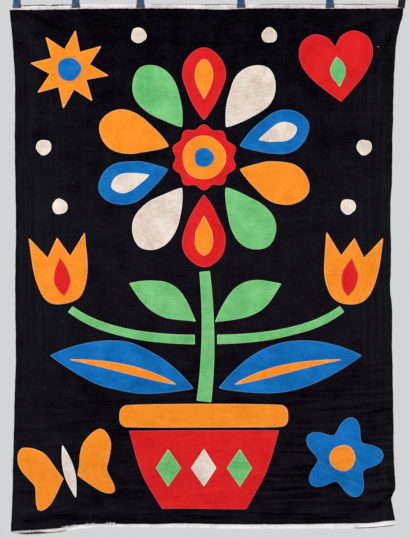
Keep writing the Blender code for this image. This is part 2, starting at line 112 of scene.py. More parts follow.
low, high = solid_box
across = np.arange(low.x - MARGIN, high.x + MARGIN, CELL)
upward = np.arange(low.z - MARGIN, CLOTH_TOP + 3 * MARGIN, CELL)
found = np.full((len(across), len(upward)), np.nan)
for i, x in enumerate(across):
    for k, z in enumerate(upward):
        hit = solid_front(x, z)
        if hit:
            found[i, k] = hit.y
for row in (found, found.T):
    for line in row:
        known = np.flatnonzero(~np.isnan(line))
        if len(known):
            line[:] = np.interp(np.arange(len(line)), known, line[known])
swell = blurred(found, BLUR)
print("the black cloth's front lies from", round(swell.min(), 4), "to", round(swell.max(), 4))

# %% [markdown]
# ## Add the creases that only this cloth has
# A cloth that was stored folded and hung by its head keeps slight creases: drag lines that run to
# the corner clips, faint level ripples near the foot, and a sharp tuck at the right edge. Each is a
# soft ridge, or a trough where its height is negative, along a listed line. A slow
# warp bends the lines a little, because no crease in cloth is straight.

# %% Name the creases
Crease = namedtuple("Crease", "x1 depth1 x2 depth2 half_width height")
CREASES = [
    Crease(-0.600, 0.016, -0.485, 0.066, 0.009, -0.0015),
    Crease(-0.640, 0.050, -0.520, 0.190, 0.014, 0.0010),
    Crease(-0.405, 0.014, -0.350, 0.042, 0.007, -0.0009),
    Crease(0.640, 0.014, 0.450, 0.052, 0.010, 0.0006),
    Crease(0.625, 0.028, 0.480, 0.072, 0.008, -0.0006),
    Crease(0.640, 0.050, 0.540, 0.130, 0.009, 0.0006),
    Crease(0.645, 0.075, 0.590, 0.190, 0.009, -0.0008),
    Crease(-0.645, 1.640, -0.585, 1.650, 0.007, -0.0016),
    Crease(-0.640, 1.690, -0.540, 1.712, 0.012, 0.0010),
    Crease(0.662, 1.637, 0.552, 1.642, 0.0060, -0.0032),
    Crease(0.562, 1.626, 0.400, 1.622, 0.008, -0.0013),
    Crease(0.575, 1.673, 0.420, 1.671, 0.008, -0.0013),
    Crease(0.640, 1.626, 0.500, 1.618, 0.010, 0.0018),
    Crease(0.690, 1.622, 0.590, 1.675, 0.0055, -0.0036),
    Crease(0.632, 1.686, 0.570, 1.710, 0.010, 0.0010),
    Crease(0.632, 1.550, 0.440, 1.549, 0.010, 0.0016),
    Crease(0.612, 1.560, 0.618, 1.720, 0.008, 0.0010),
    Crease(0.634, 1.500, 0.630, 1.640, 0.006, -0.0009),
    Crease(-0.600, 1.735, -0.430, 1.722, 0.011, -0.0013),
    Crease(0.020, 0.030, 0.010, 0.300, 0.010, 0.0007),
    Crease(0.300, 0.020, 0.280, 0.260, 0.014, -0.0004),
]
RIPPLE_DEPTHS = (1.310, 1.352, 1.388, 1.430, 1.466, 1.512, 1.700, 1.728)
RIPPLE_START = -0.62
RIPPLE_SHIFT = 0.11
RIPPLE_LENGTH = 1.0
RIPPLE_DROP = 0.006
RIPPLE_HALF_WIDTH = 0.011
RIPPLE_HEIGHT = 0.0004
for k, depth in enumerate(RIPPLE_DEPTHS):
    way = (-1) ** k
    start = RIPPLE_START + RIPPLE_SHIFT * (k % 3)
    end = (start + RIPPLE_LENGTH, depth + RIPPLE_DROP * way)
    CREASES.append(Crease(start, depth, *end, RIPPLE_HALF_WIDTH, RIPPLE_HEIGHT * way))
print(len(CREASES), "creases")

# %% Let the cloth hang a little slack
SLACK_REACH = 0.016
SLACK_HEIGHT = 0.00030
WRINKLE_REACH = 0.045
WRINKLE_HEIGHT = 0.00055
chance = np.random.default_rng(11)
slack = blurred(chance.standard_normal(swell.shape), SLACK_REACH)
wrinkle = blurred(chance.standard_normal(swell.shape), WRINKLE_REACH)
swell += SLACK_HEIGHT * slack / slack.std() + WRINKLE_HEIGHT * wrinkle / wrinkle.std()
swell_at_head = float(np.median(found[:, -1]))
print("the clipped head lies at", round(swell_at_head, 4))

# %% Find the front of the black cloth anywhere
FLAT_AT_HEAD = 0.060
WARP = 0.0035
SIDE_WARP = 0.0030


def soft_step(share):
    """A smooth rise from 0 to 1."""
    share = np.clip(share, 0, 1)
    return share * share * (3 - 2 * share)


def read_table(heights, x, z):
    """The table's height at places between its points."""
    i = np.clip((x - across[0]) / CELL, 0, len(across) - 1.001)
    k = np.clip((z - upward[0]) / CELL, 0, len(upward) - 1.001)
    i0, k0 = i.astype(int), k.astype(int)
    s, t = i - i0, k - k0
    below = heights[i0, k0] * (1 - s) + heights[i0 + 1, k0] * s
    above = heights[i0, k0 + 1] * (1 - s) + heights[i0 + 1, k0 + 1] * s
    return below * (1 - t) + above * t


def crease_height(x, depth):
    """How far all the creases together lift the cloth towards the viewer."""
    warped = depth + WARP * np.sin(31 * x + 2.0 * np.sin(17 * depth))
    aside = x + SIDE_WARP * np.sin(37 * depth + 1.3)
    total = np.zeros_like(x)
    for c in CREASES:
        run = np.array((c.x2 - c.x1, c.depth2 - c.depth1))
        along = ((aside - c.x1) * run[0] + (warped - c.depth1) * run[1]) / (run @ run)
        held = np.clip(along, 0, 1)
        far = np.hypot(aside - c.x1 - held * run[0], warped - c.depth1 - held * run[1])
        fade = 0.45 + 0.55 * np.sin(math.pi * np.clip(held, 0.08, 0.92)) ** 0.7
        total += c.height * fade * np.exp(-((far / c.half_width) ** 2))
    return total


def hang(x, z):
    """Where the black cloth's front lies at x and z: its y. The clipped head stays flat."""
    x, z = np.asarray(x, float), np.asarray(z, float)
    depth = CLOTH_TOP - z
    loose = soft_step(depth / FLAT_AT_HEAD)
    slow = swell_at_head + (read_table(swell, x, z) - swell_at_head) * loose
    return slow - crease_height(x, depth) * loose


print("the cloth's middle lies at", round(float(hang(0, -0.95)), 4))

# %% Say where the cloth is painted paler or darker, and where it is rippled
# The black cloth's colour carries painted light and shade on its creases, and paler or darker regions.
RIDGE_FULL_SHADE = 0.0015
SIDES_PALER = 0.45
HEAD_SHADE = 0.42
MIDDLE_PALER = 0.42
FOOT_PALER = 0.22
TONE_OFFSET = 0.50


def painted_shade_and_tone(x, depth):
    """Painted tone of the cloth, about -1 to 1: light and shade on its creases, paler or darker regions.
    """
    # Crease ridges are painted paler and troughs darker: painted light and shade, with a little wear.
    ridge = np.clip(crease_height(x, depth) / RIDGE_FULL_SHADE, -1.2, 1.0)
    # Paler towards the sides, the middle and the foot, and darker near the head.
    sides = soft_step((np.abs(x) - 0.36) / 0.26)
    head = 1 - soft_step(depth / 0.40)
    middle = soft_step((depth - 0.40) / 0.35) * (1 - soft_step((depth - 1.00) / 0.35))
    foot = soft_step((depth - 1.20) / 0.40)
    paler = ridge + SIDES_PALER * sides - HEAD_SHADE * head + MIDDLE_PALER * middle
    return paler + FOOT_PALER * foot - TONE_OFFSET


def ripple_shares(x, depth):
    """How strongly level ripples and upright lines show: level at the foot, upright at a side."""
    foot = soft_step((depth - 1.05) / 0.40)
    side = soft_step((np.abs(x) - 0.44) / 0.14)
    level = 0.08 + 0.42 * foot * (0.40 + 0.60 * soft_step((x + 0.35) / 0.45))
    hung_straight = 0.35 + 0.65 * soft_step((depth - 0.10) / 0.35)
    return level, (0.06 + 0.30 * side) * (1 - 0.8 * foot) * hung_straight


print("wear at the middle of a side:", round(float(painted_shade_and_tone(np.array([0.6]), np.array([0.9]))[0]), 2))

# %% [markdown]
# ## Read the outlines
# The outline of each piece is already settled in its solid, so it is read from there and not typed
# again. The front faces of a solid look towards the viewer, and the edges that only one of them
# touches form its outline. Points on a straight line say nothing new and are dropped.

# %% Walk round a solid's front
FACES_VIEWER = -0.5
STRAIGHT = math.radians(0.05)


def turns_of(points):
    """How far the outline turns at each point, positive to the left, in radians."""
    ahead = np.roll(points, -1, axis=0) - points
    behind = np.roll(ahead, 1, axis=0)
    cross = behind[:, 0] * ahead[:, 1] - behind[:, 1] * ahead[:, 0]
    return np.arctan2(cross, (behind * ahead).sum(1))


def outline_of(node):
    """The front outline of a solid as (x, z) points, running to the left round its inside."""
    bm = bmesh.new()
    bm.from_mesh(solids[node].data)
    bmesh.ops.remove_doubles(bm, verts=bm.verts, dist=1e-5)
    bm.normal_update()
    front = {face for face in bm.faces if face.normal.y < FACES_VIEWER}
    rim = [e for e in bm.edges if sum(face in front for face in e.link_faces) == 1]
    beside = {}
    for e in rim:
        for v in e.verts:
            beside.setdefault(v, []).append(e.other_vert(v))
    walk = [rim[0].verts[0]]
    came = None
    while True:
        here = walk[-1]
        there = next(v for v in beside[here] if v is not came)
        if there is walk[0]:
            break
        came = here
        walk.append(there)
    points = np.array([(v.co.x, v.co.z) for v in walk])
    bm.free()
    points = points[np.abs(turns_of(points)) > STRAIGHT]
    if turns_of(points).sum() < 0:
        points = points[::-1]
    return points


print("the star's outline has", len(outline_of("star")), "points")

# %% [markdown]
# ## Cut the outlines again with smooth curves
# A pair of scissors cuts curves, not chords. Between its true corners, an outline becomes a smooth
# curve through its points. A corner of cloth that is turned under is never sharp, so each corner
# becomes a small arc, wide enough for the roll of the edge to go round it.

# %% Smooth between the corners
CORNER = math.radians(50)
ROUND_PIECES = ("flower_scallop", "blossom")
FINE_STEPS = 12


def curve_through(points, closed):
    """A dense smooth curve through the points, with even pull at uneven spacing."""
    count = len(points)
    last = count if closed else count - 1
    dense = []
    for k in range(last):
        here, there = points[k], points[(k + 1) % count]
        chord = there - here
        gap = math.sqrt(np.linalg.norm(chord))
        pulls = [None, None]
        for end, (a, b, c) in enumerate(((k - 1, k, k + 1), (k, k + 1, k + 2))):
            if closed or (a >= 0 and c < count):
                before, middle, after = (points[m % count] for m in (a, b, c))
                first = math.sqrt(np.linalg.norm(middle - before))
                second = math.sqrt(np.linalg.norm(after - middle))
                slope = (middle - before) / first - (after - before) / (first + second)
                pulls[end] = gap * (slope + (after - middle) / second)
        if pulls[0] is None and pulls[1] is None:
            pulls = [chord, chord]
        elif pulls[0] is None:
            pulls[0] = 1.5 * chord - 0.5 * pulls[1]
        elif pulls[1] is None:
            pulls[1] = 1.5 * chord - 0.5 * pulls[0]
        t = np.arange(FINE_STEPS)[:, None] / FINE_STEPS
        bow = 3 * chord - 2 * pulls[0] - pulls[1]
        twist = pulls[0] + pulls[1] - 2 * chord
        dense.append(here + pulls[0] * t + bow * t**2 + twist * t**3)
    if not closed:
        dense.append(points[-1:])
    return np.concatenate(dense)


def even_points(line, start, end, spacing):
    """Points at even steps along a line, from start after its beginning to end before its end."""
    reach = np.concatenate([[0], np.cumsum(np.linalg.norm(np.diff(line, axis=0), axis=1))])
    count = max(2, math.ceil((reach[-1] - start - end) / spacing) + 1)
    at = np.linspace(start, reach[-1] - end, count)
    return np.stack([np.interp(at, reach, line[:, k]) for k in (0, 1)], axis=1)


# %% Soften the corners
CORNER_RADIUS = 0.0017
ARC_TURN = 0.55
EDGE_STEP = 0.0045


def corner_arc(corner, back, ahead, half):
    """Points of an arc inside a corner. Back and ahead point away from it along its sides."""
    away = CORNER_RADIUS / math.tan(half)
    middle = back + ahead
    centre = corner + middle / np.linalg.norm(middle) * CORNER_RADIUS / math.sin(half)
    first = (corner + back * away - centre) / CORNER_RADIUS
    last = (corner + ahead * away - centre) / CORNER_RADIUS
    sweep = math.pi - 2 * half
    steps = max(2, math.ceil(sweep / ARC_TURN))
    arc = []
    for k in range(1, steps):
        share = k / steps
        blend = math.sin((1 - share) * sweep) * first + math.sin(share * sweep) * last
        arc.append(centre + CORNER_RADIUS * blend / math.sin(sweep))
    return arc


def hand_cut(points, keep_round=False):
    """An outline as scissors cut it: smooth between corners, and a little blunt at them."""
    turns = np.abs(turns_of(points))
    corners = [] if keep_round else [k for k in range(len(points)) if turns[k] > CORNER]
    if not corners:
        dense = curve_through(points, closed=True)
        closing = np.concatenate([dense, dense[:1]])
        return even_points(closing, 0, 0, EDGE_STEP)[:-1]
    runs = []
    for a, b in zip(corners, corners[1:] + [corners[0] + len(points)]):
        run = points[[k % len(points) for k in range(a, b + 1)]]
        runs.append(curve_through(run, closed=False))
    ways = [(run[1] - run[0], run[-2] - run[-1]) for run in runs]
    ways = [(w / np.linalg.norm(w), b / np.linalg.norm(b)) for w, b in ways]
    cut = []
    halves = []
    for k in range(len(runs)):
        cosine = float(np.clip(ways[k - 1][1] @ ways[k][0], -0.999, 0.999))
        halves.append(math.acos(cosine) / 2)
    for k, run in enumerate(runs):
        ahead = (k + 1) % len(runs)
        start = CORNER_RADIUS / math.tan(halves[k])
        end = CORNER_RADIUS / math.tan(halves[ahead])
        cut.extend(even_points(run, start, end, EDGE_STEP))
        cut.extend(corner_arc(run[-1], ways[k][1], ways[ahead][0], halves[ahead]))
    return np.array(cut)


print("the star is cut again with", len(hand_cut(outline_of("star"))), "points")

# %% [markdown]
# ## Finish: dyed cotton
# Plain woven cotton is matt. Up close its warp and weft make a fine grid, from a step away thick
# threads show as faint streaks, and the dye is never quite even. The edge of a sewn piece catches
# more wear and light, so a map of the distance to the edge paints its rim paler: a painted highlight
# with some wear. Creases and ripples are painted into the colour too, as light and shade. Everything
# that follows the cloth reads the piece's own grain map, so the weave runs with the cloth.

# %% Helpers for finishes
THREAD_PITCH = 0.0009
WAVE_PERIOD = 2 * math.pi / 20


def linear(colour):
    """A colour in 8 bits a channel, as the shader wants it."""
    parts = [c / 255 for c in colour]
    return (*[c / 12.92 if c < 0.04045 else ((c + 0.055) / 1.055) ** 2.4 for c in parts], 1)


def new_finish(name, roughness, gloss):
    """A material with its shader, its node maker and its linker."""
    made = bpy.data.materials.new(name)
    made.use_nodes = True
    tree = made.node_tree
    shader = tree.nodes["Principled BSDF"]
    shader.inputs["Roughness"].default_value = roughness
    shader.inputs["Specular IOR Level"].default_value = gloss

    def add(kind, **settings):
        node = tree.nodes.new(kind)
        for key, value in settings.items():
            if key in node.inputs:
                node.inputs[key].default_value = value
            else:
                setattr(node, key, value)
        return node

    return made, shader, add, tree.links.new


def add_streaks(add, link, grain, across_pitch, along_pitch):
    """Noise that is drawn out along the weft, as thick threads show."""
    stretch = add("ShaderNodeMapping")
    stretch.inputs["Scale"].default_value = (1 / along_pitch, 1 / across_pitch, 1)
    link(grain.outputs["UV"], stretch.inputs["Vector"])
    streak = add("ShaderNodeTexNoise", Scale=1.0, Detail=3.0)
    link(stretch.outputs["Vector"], streak.inputs["Vector"])
    return streak


def add_mix(add, link, factor, first, second):
    """A blend of two colours, or of two colour sockets, by a factor socket."""
    mix = add("ShaderNodeMix", data_type="RGBA")
    link(factor, mix.inputs["Factor"])
    colour_inputs = [socket for socket in mix.inputs if socket.type == "RGBA"]
    for value, socket in zip((first, second), colour_inputs):
        if isinstance(value, tuple):
            socket.default_value = value
        else:
            link(value, socket)
    return [socket for socket in mix.outputs if socket.type == "RGBA"][0]


def calc(add, link, operation, *values):
    """The socket of one sum. Each value is a number or a socket."""
    step = add("ShaderNodeMath", operation=operation)
    for socket, value in zip(step.inputs, values):
        if isinstance(value, (int, float)):
            socket.default_value = value
        else:
            link(value, socket)
    return step.outputs[0]


# %% Helpers for the tone, the rim and the weave
# The shading field says how strongly the painted light and shade of a sheet's note shows.
Cotton = namedtuple("Cotton", "deep light rim rim_share gloss wear weave patch mottle", defaults=(1.0,))
RIM_EDGE = 0.3
PALE_RIM_WIDTH = 3.4
STREAK_WIDTH = 0.0040
STREAK_LENGTH = 0.060
STREAK_SHARE = 0.35
SPECKLE_SHARE = 0.45
TONE_REACH = 0.295
RIPPLES = {"level": (4.5, 70.0, 1), "upright": (120.0, 1.6, 1)}
# How strongly the ripples are painted into the colour as light and dark lines.
RIPPLE_PAINTED_SHADE = 2.2


def add_ripples(add, link, grain):
    """Soft lines in the cloth, level or upright, each as strong as the sheet's own note says."""
    total = 0.0
    for share_name, scale in RIPPLES.items():
        stretch = add("ShaderNodeMapping")
        stretch.inputs["Scale"].default_value = scale
        link(grain.outputs["UV"], stretch.inputs["Vector"])
        line = add("ShaderNodeTexNoise", Scale=1.0, Detail=3.0, Distortion=0.4)
        link(stretch.outputs["Vector"], line.inputs["Vector"])
        share = add("ShaderNodeAttribute", attribute_name=share_name)
        centred = calc(add, link, "SUBTRACT", line.outputs["Fac"], 0.5)
        total = calc(add, link, "MULTIPLY_ADD", centred, share.outputs["Fac"], total)
    return total


def dye_tone(add, link, dye, streak, ripples):
    """How deep the dye is, from 0 to 1: patches, streaks, specks, painted crease shade and ripples."""
    place = add("ShaderNodeTexCoord")
    patches = add("ShaderNodeTexNoise", Scale=13.0, Detail=5.0, Roughness=0.62)
    link(place.outputs["Object"], patches.inputs["Vector"])
    speckle = add("ShaderNodeTexNoise", Scale=150.0, Detail=2.0)
    link(place.outputs["Object"], speckle.inputs["Vector"])
    wear = add("ShaderNodeAttribute", attribute_name="painted_shade_and_tone")
    streaky, speckled = dye.mottle * STREAK_SHARE, dye.mottle * SPECKLE_SHARE
    tone = calc(add, link, "MULTIPLY", patches.outputs["Fac"], dye.patch)
    tone = calc(add, link, "MULTIPLY_ADD", streak.outputs["Fac"], streaky, tone)
    tone = calc(add, link, "MULTIPLY_ADD", speckle.outputs["Fac"], speckled, tone)
    # The sheet's note paints light and shade on creases and folds, and paler or darker regions.
    tone = calc(add, link, "MULTIPLY_ADD", wear.outputs["Fac"], dye.wear, tone)
    # Ripples are painted in as light and dark lines too: painted shade.
    tone = calc(add, link, "MULTIPLY_ADD", ripples, RIPPLE_PAINTED_SHADE, tone)
    middle = 0.5 * (dye.patch + streaky + speckled)
    spread = add("ShaderNodeMapRange")
    spread.inputs["From Min"].default_value = middle - TONE_REACH
    spread.inputs["From Max"].default_value = middle + TONE_REACH
    link(tone, spread.inputs["Value"])
    return spread.outputs["Result"]


def pale_rim(add, link, dye):
    """How much of the rim's colour shows: most at the edge, none past the rim's width."""
    # On the bright pieces the paler rim is a painted highlight of the rolled edge, with some wear.
    edge = add("ShaderNodeAttribute", attribute_name="edge")
    rim = add("ShaderNodeMapRange", interpolation_type="SMOOTHSTEP")
    rim.inputs["From Min"].default_value = PALE_RIM_WIDTH
    rim.inputs["From Max"].default_value = RIM_EDGE
    rim.inputs["To Max"].default_value = dye.rim_share
    link(edge.outputs["Fac"], rim.inputs["Value"])
    return rim.outputs["Result"]


def weave_normal(add, link, dye, grain, streak, ripples):
    """The relief of the cloth: its warp and weft with thick threads, on top of its ripples."""
    swells = add("ShaderNodeBump", Strength=1.0, Distance=0.0022)
    link(ripples, swells.inputs["Height"])
    crossing = 0.0
    for way in ("X", "Y"):
        run = add("ShaderNodeTexWave", bands_direction=way, Distortion=0.6, Detail=1.0)
        run.inputs["Scale"].default_value = WAVE_PERIOD / THREAD_PITCH
        link(grain.outputs["UV"], run.inputs["Vector"])
        crossing = calc(add, link, "ADD", run.outputs["Fac"], crossing)
    slub = calc(add, link, "MULTIPLY_ADD", streak.outputs["Fac"], 2.0, crossing)
    relief = add("ShaderNodeBump", Strength=dye.weave, Distance=0.00012)
    link(slub, relief.inputs["Height"])
    link(swells.outputs["Normal"], relief.inputs["Normal"])
    return relief.outputs["Normal"]


# %% Mix a cotton
COTTON_ROUGHNESS = 0.86


def cotton(name, dye):
    """Dyed cotton: two shades in soft patches, streaks and worn lines, a paler rim, a weave."""
    made, shader, add, link = new_finish(name, COTTON_ROUGHNESS, dye.gloss)
    grain = add("ShaderNodeUVMap", uv_map="grain")
    streak = add_streaks(add, link, grain, STREAK_WIDTH, STREAK_LENGTH)
    ripples = add_ripples(add, link, grain)
    tone = dye_tone(add, link, dye, streak, ripples)
    body = add_mix(add, link, tone, linear(dye.deep), linear(dye.light))
    colour = add_mix(add, link, pale_rim(add, link, dye), body, linear(dye.rim))
    link(colour, shader.inputs["Base Color"])
    link(weave_normal(add, link, dye, grain, streak, ripples), shader.inputs["Normal"])
    return made


# %% Dye the cottons
DYES = {
    "cotton_black": Cotton((2, 1, 5), (27, 25, 32), (44, 30, 26), 0.35, 0.02, 0.24, 0.5, 0.6),
    "cotton_red": Cotton((202, 20, 25), (230, 40, 42), (218, 74, 92), 0.75, 0.05, 0.08, 0.5, 0.9),
    "cotton_orange": Cotton((232, 127, 21), (254, 152, 48), (255, 192, 132), 0.7, 0.05, 0.08, 0.5, 0.9),
    "cotton_blue": Cotton((0, 88, 152), (26, 121, 201), (102, 146, 194), 0.6, 0.05, 0.08, 0.5, 1.1),
    "cotton_green": Cotton((86, 172, 94), (130, 206, 134), (172, 218, 154), 0.7, 0.05, 0.08, 0.5, 1.1),
    "cotton_white": Cotton((202, 182, 164), (246, 234, 223), (255, 251, 246), 0.8, 0.05, 0.12, 0.8, 1.1),
    "tape_white": Cotton((52, 47, 50), (250, 244, 240), (236, 222, 216), 0.2, 0.05, 0.24, 0.8, 0.5, 0.55),
}
finishes = {slot: cotton(slot, dye) for slot, dye in DYES.items()}
print("finishes:", ", ".join(finishes))

# %% [markdown]
# ## Turn a drawing of cloth into a sheet
# A sheet of cloth starts flat, facing the viewer. Each point keeps notes: how many millimetres it is
# from the edge, where it lies on the cloth's own grain, and its painted shade, tone and ripples.
# The notes travel with the point when the sheet is closed behind, and the finish reads them later.

# %% Helpers for sheets
def points_of(verts):
    """The x and z of some points, as two rows of numbers."""
    places = np.array([(v.co.x, v.co.z) for v in verts])
    return places[:, 0], places[:, 1]


def note(bm, name, values):
    """Write a value on every point of the sheet, so that the sheet's back gets it too."""
    layer = bm.verts.layers.float.get(name) or bm.verts.layers.float.new(name)
    for v, value in zip(bm.verts, values):
        v[layer] = value


def read_note(bm, name, verts):
    layer = bm.verts.layers.float[name]
    return np.array([v[layer] for v in verts])


def note_shade_and_ripples(bm, share):
    """Write the cloth's painted shade and tone and its ripples at each point, in full or in part."""
    x, z = points_of(bm.verts)
    level, upright = ripple_shares(x, CLOTH_TOP - z)
    note(bm, "painted_shade_and_tone", share * painted_shade_and_tone(x, CLOTH_TOP - z))
    note(bm, "level", share * level)
    note(bm, "upright", share * upright)


def set_heights(verts, heights):
    for v, y in zip(verts, heights):
        v.co.y = y


def close_behind(bm, back_height):
    """Copy the sheet's front backwards and wall it round, so that the cloth is closed."""
    grown = bmesh.ops.extrude_face_region(bm, geom=bm.faces[:])
    behind = [part for part in grown["geom"] if isinstance(part, bmesh.types.BMVert)]
    x, z = points_of(behind)
    set_heights(behind, back_height(x, z, read_note(bm, "edge", behind) / 1000))


def add_object(name, data):
    """A named object in the scene."""
    made = bpy.data.objects.new(name, data)
    bpy.context.scene.collection.objects.link(made)
    return made


def finish_sheet(name, bm, slot):
    """A named object from a closed sheet, with its grain map and its finish."""
    bmesh.ops.recalc_face_normals(bm, faces=bm.faces)
    mesh = bpy.data.meshes.new(name)
    bm.to_mesh(mesh)
    bm.free()
    corner_vert = np.zeros(len(mesh.loops), int)
    mesh.loops.foreach_get("vertex_index", corner_vert)
    grain = []
    for axis in ("grain_across", "grain_along"):
        values = np.zeros(len(mesh.vertices), np.float32)
        mesh.attributes[axis].data.foreach_get("value", values)
        grain.append(values[corner_vert])
    chart = mesh.uv_layers.new(name="grain")
    chart.uv.foreach_set("vector", np.stack(grain, axis=1).ravel())
    mesh.shade_smooth()
    mesh.materials.append(finishes[slot])
    return add_object(name, mesh)


def dress(piece, node):
    """Let a piece ride on the frame and stand for its solid, which is hidden."""
    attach(piece, "root")
    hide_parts(node)


# %% [markdown]
# ## The black cloth
# The ground is one cloth with its four edges hemmed to the back. It starts as a grid whose lines
# crowd together near the edges, where the cloth rolls over and where the hem ends. The grid is then
# drawn out between the four edge curves of the solid, so each line follows the cloth. Its head dips
# a little between the stitches that hold it to the tape.

# %% Split an outline into its four sides
Sides = namedtuple("Sides", "left right top bottom")
SHARP_BEND = math.radians(24)


def curve_between_bends(points):
    """A smooth curve through a run of points that keeps the sharp bends of the run."""
    bends = [k for k in range(1, len(points) - 1) if abs(turns_of(points)[k]) > SHARP_BEND]
    parts = []
    for a, b in zip([0] + bends, bends + [len(points) - 1]):
        parts.append(curve_through(points[a : b + 1], closed=False)[:-1])
    return np.concatenate(parts + [points[-1:]])


def four_sides(points):
    """The sides of a four-cornered outline: x along its left and right, z along top and bottom."""
    ends = [np.argmax(points @ np.array(way)) for way in ((-1, 1), (-1, -1), (1, -1), (1, 1))]
    sides = []
    for a, b in zip(ends, ends[1:] + ends[:1]):
        steps = (b - a) % len(points)
        run = points[[(a + k) % len(points) for k in range(steps + 1)]]
        sides.append(curve_between_bends(run))
    left, bottom, right, top = sides
    return Sides(
        left=lambda z: np.interp(-z, -left[:, 1], left[:, 0]),
        right=lambda z: np.interp(z, right[:, 1], right[:, 0]),
        top=lambda x: np.interp(-x, -top[:, 0], top[:, 1]),
        bottom=lambda x: np.interp(x, bottom[:, 0], bottom[:, 1]),
    )


ground_sides = four_sides(outline_of("ground_cloth"))
print("the black cloth's head lies at", round(float(ground_sides.top(0)), 3))

# %% Weave a flat sheet between four sides
SCALLOP_PERIOD = 0.026
NO_ZONE = (1, 1)
FINE_GAIN = 0.6


def edge_wander(place, amount, seed):
    """A hemmed edge is never quite even: a few slow waves."""
    waves = np.sin(61 * place + seed) + 0.7 * np.sin(143 * place + 2 * seed)
    return amount * (waves + 0.5 * np.sin(287 * place + 3 * seed))


def crowded(length, near_lines, step, fine_zone=NO_ZONE):
    """Places of grid lines from 0 to 1: crowded near both ends, and closer in the fine zone."""
    near = np.array(near_lines) / length
    middle = np.linspace(near[-1], 1 - near[-1], 4000)
    closer = 1 + FINE_GAIN * ((middle > fine_zone[0]) & (middle < fine_zone[1]))
    walked = np.cumsum(closer) - closer[0]
    count = math.ceil(walked[-1] / len(middle) * length / step) + 1
    even = np.interp(np.linspace(0, walked[-1], count), walked, middle)
    return np.concatenate([near[:-1], even, 1 - near[:-1][::-1]])


def woven_grid(sides, columns, rows, wander, scallop=0.0):
    """A flat sheet between four sides, with its notes. Columns and rows are places from 0 to 1."""
    left, right, top, bottom = sides
    bm = bmesh.new()
    bmesh.ops.create_grid(bm, x_segments=len(columns) - 1, y_segments=len(rows) - 1, size=0.5)
    flat = np.array([(v.co.x + 0.5, v.co.y + 0.5) for v in bm.verts])
    u = columns[np.rint(flat[:, 0] * (len(columns) - 1)).astype(int)]
    v = rows[np.rint(flat[:, 1] * (len(rows) - 1)).astype(int)]
    middle_z = (top(0) + bottom(0)) / 2
    x0 = left(middle_z) + u * (right(middle_z) - left(middle_z))
    head, foot = top(x0) + edge_wander(x0, wander, 1), bottom(x0) + edge_wander(x0, wander, 2)
    head -= scallop * np.abs(np.sin(math.pi * x0 / SCALLOP_PERIOD))
    z = foot + v * (head - foot)
    west, east = left(z) + edge_wander(z, wander, 3), right(z) + edge_wander(z, wander, 4)
    x = west + u * (east - west)
    for vert, px, pz in zip(bm.verts, x, z):
        vert.co = (px, 0, pz)
    far = np.minimum(np.minimum(x - west, east - x), np.minimum(head - z, z - foot))
    note(bm, "edge", far * 1000)
    note(bm, "grain_across", u * float(right(middle_z) - left(middle_z)))
    note(bm, "grain_along", v * float(top(0) - bottom(0)))
    bm.normal_update()
    if sum(f.normal.y for f in bm.faces) > 0:
        bmesh.ops.reverse_faces(bm, faces=bm.faces)
    return bm


# %% Make the black cloth
GROUND_THICKNESS = 0.0012
HEM = 0.012
HEM_RIDGE = 0.00028
HEM_GROOVE = 0.00016
HEM_DOUBLE = 0.0004
ROLL = 0.0007
ROLL_DEPTH = 0.0004
EDGE_LINES = (0, 0.0006, 0.0018, 0.006, 0.0105, 0.0125, 0.0150)
GROUND_WANDER = 0.0003
SCALLOP = 0.0010
GROUND_STEP = 0.0084
RIGHT_ZONE = (0.86, 1)
FOOT_ZONE = (0, 0.17)


def rolled(far, depth, reach):
    """How much lower cloth lies near its edge, where it rolls over."""
    share = np.clip(far / reach, 0, 1)
    return depth * (1 - np.sqrt(1 - (1 - share) ** 2))


def hem_step(far):
    """The raised band of a hem, and the groove that its inner edge leaves in the front."""
    band = HEM_RIDGE * (1 - soft_step((far - 0.0095) / 0.004))
    return band - HEM_GROOVE * np.exp(-(((far - 0.0125) / 0.0012) ** 2))


def ground_back(x, z, far):
    """The back of the black cloth, which is double under the hem."""
    thickness = GROUND_THICKNESS - HEM_DOUBLE * soft_step((far - HEM) / 0.0015)
    return hang(x, z) + thickness - rolled(far, ROLL_DEPTH, ROLL)


ground_low, ground_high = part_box("ground_cloth")
ground_size = ground_high - ground_low
columns = crowded(ground_size.x, EDGE_LINES, GROUND_STEP, RIGHT_ZONE)
rows = crowded(ground_size.z, EDGE_LINES, GROUND_STEP, FOOT_ZONE)
bm = woven_grid(ground_sides, columns, rows, GROUND_WANDER, SCALLOP)
x, z = points_of(bm.verts)
note_shade_and_ripples(bm, 1)
far = read_note(bm, "edge", bm.verts) / 1000
set_heights(bm.verts, hang(x, z) - hem_step(far) + rolled(far, ROLL_DEPTH, ROLL))
close_behind(bm, ground_back)
black_cloth = finish_sheet("black_cloth", bm, "cotton_black")
dress(black_cloth, "ground_cloth")
print("black cloth:", len(black_cloth.data.polygons), "faces")

# %% [markdown]
# ## The two tapes
# A strip of white cotton tape is sewn behind the head and another behind the foot, and both show a
# finger's width past the black. They are made as the black cloth was, on the same hung surface, but
# one gap behind it. Tape that is free puckers a little backwards, so it never pushes at the black.
# The head tape is drawn up by 2 mm, all but at its left end. Painted shade greys it, most near the
# black, and a painted shadow line runs along its top in places. The foot tape is folded over on
# itself at the left, which leaves a groove along it that is painted dark as shade, and a painted
# shadow runs along its lower edge at the right.

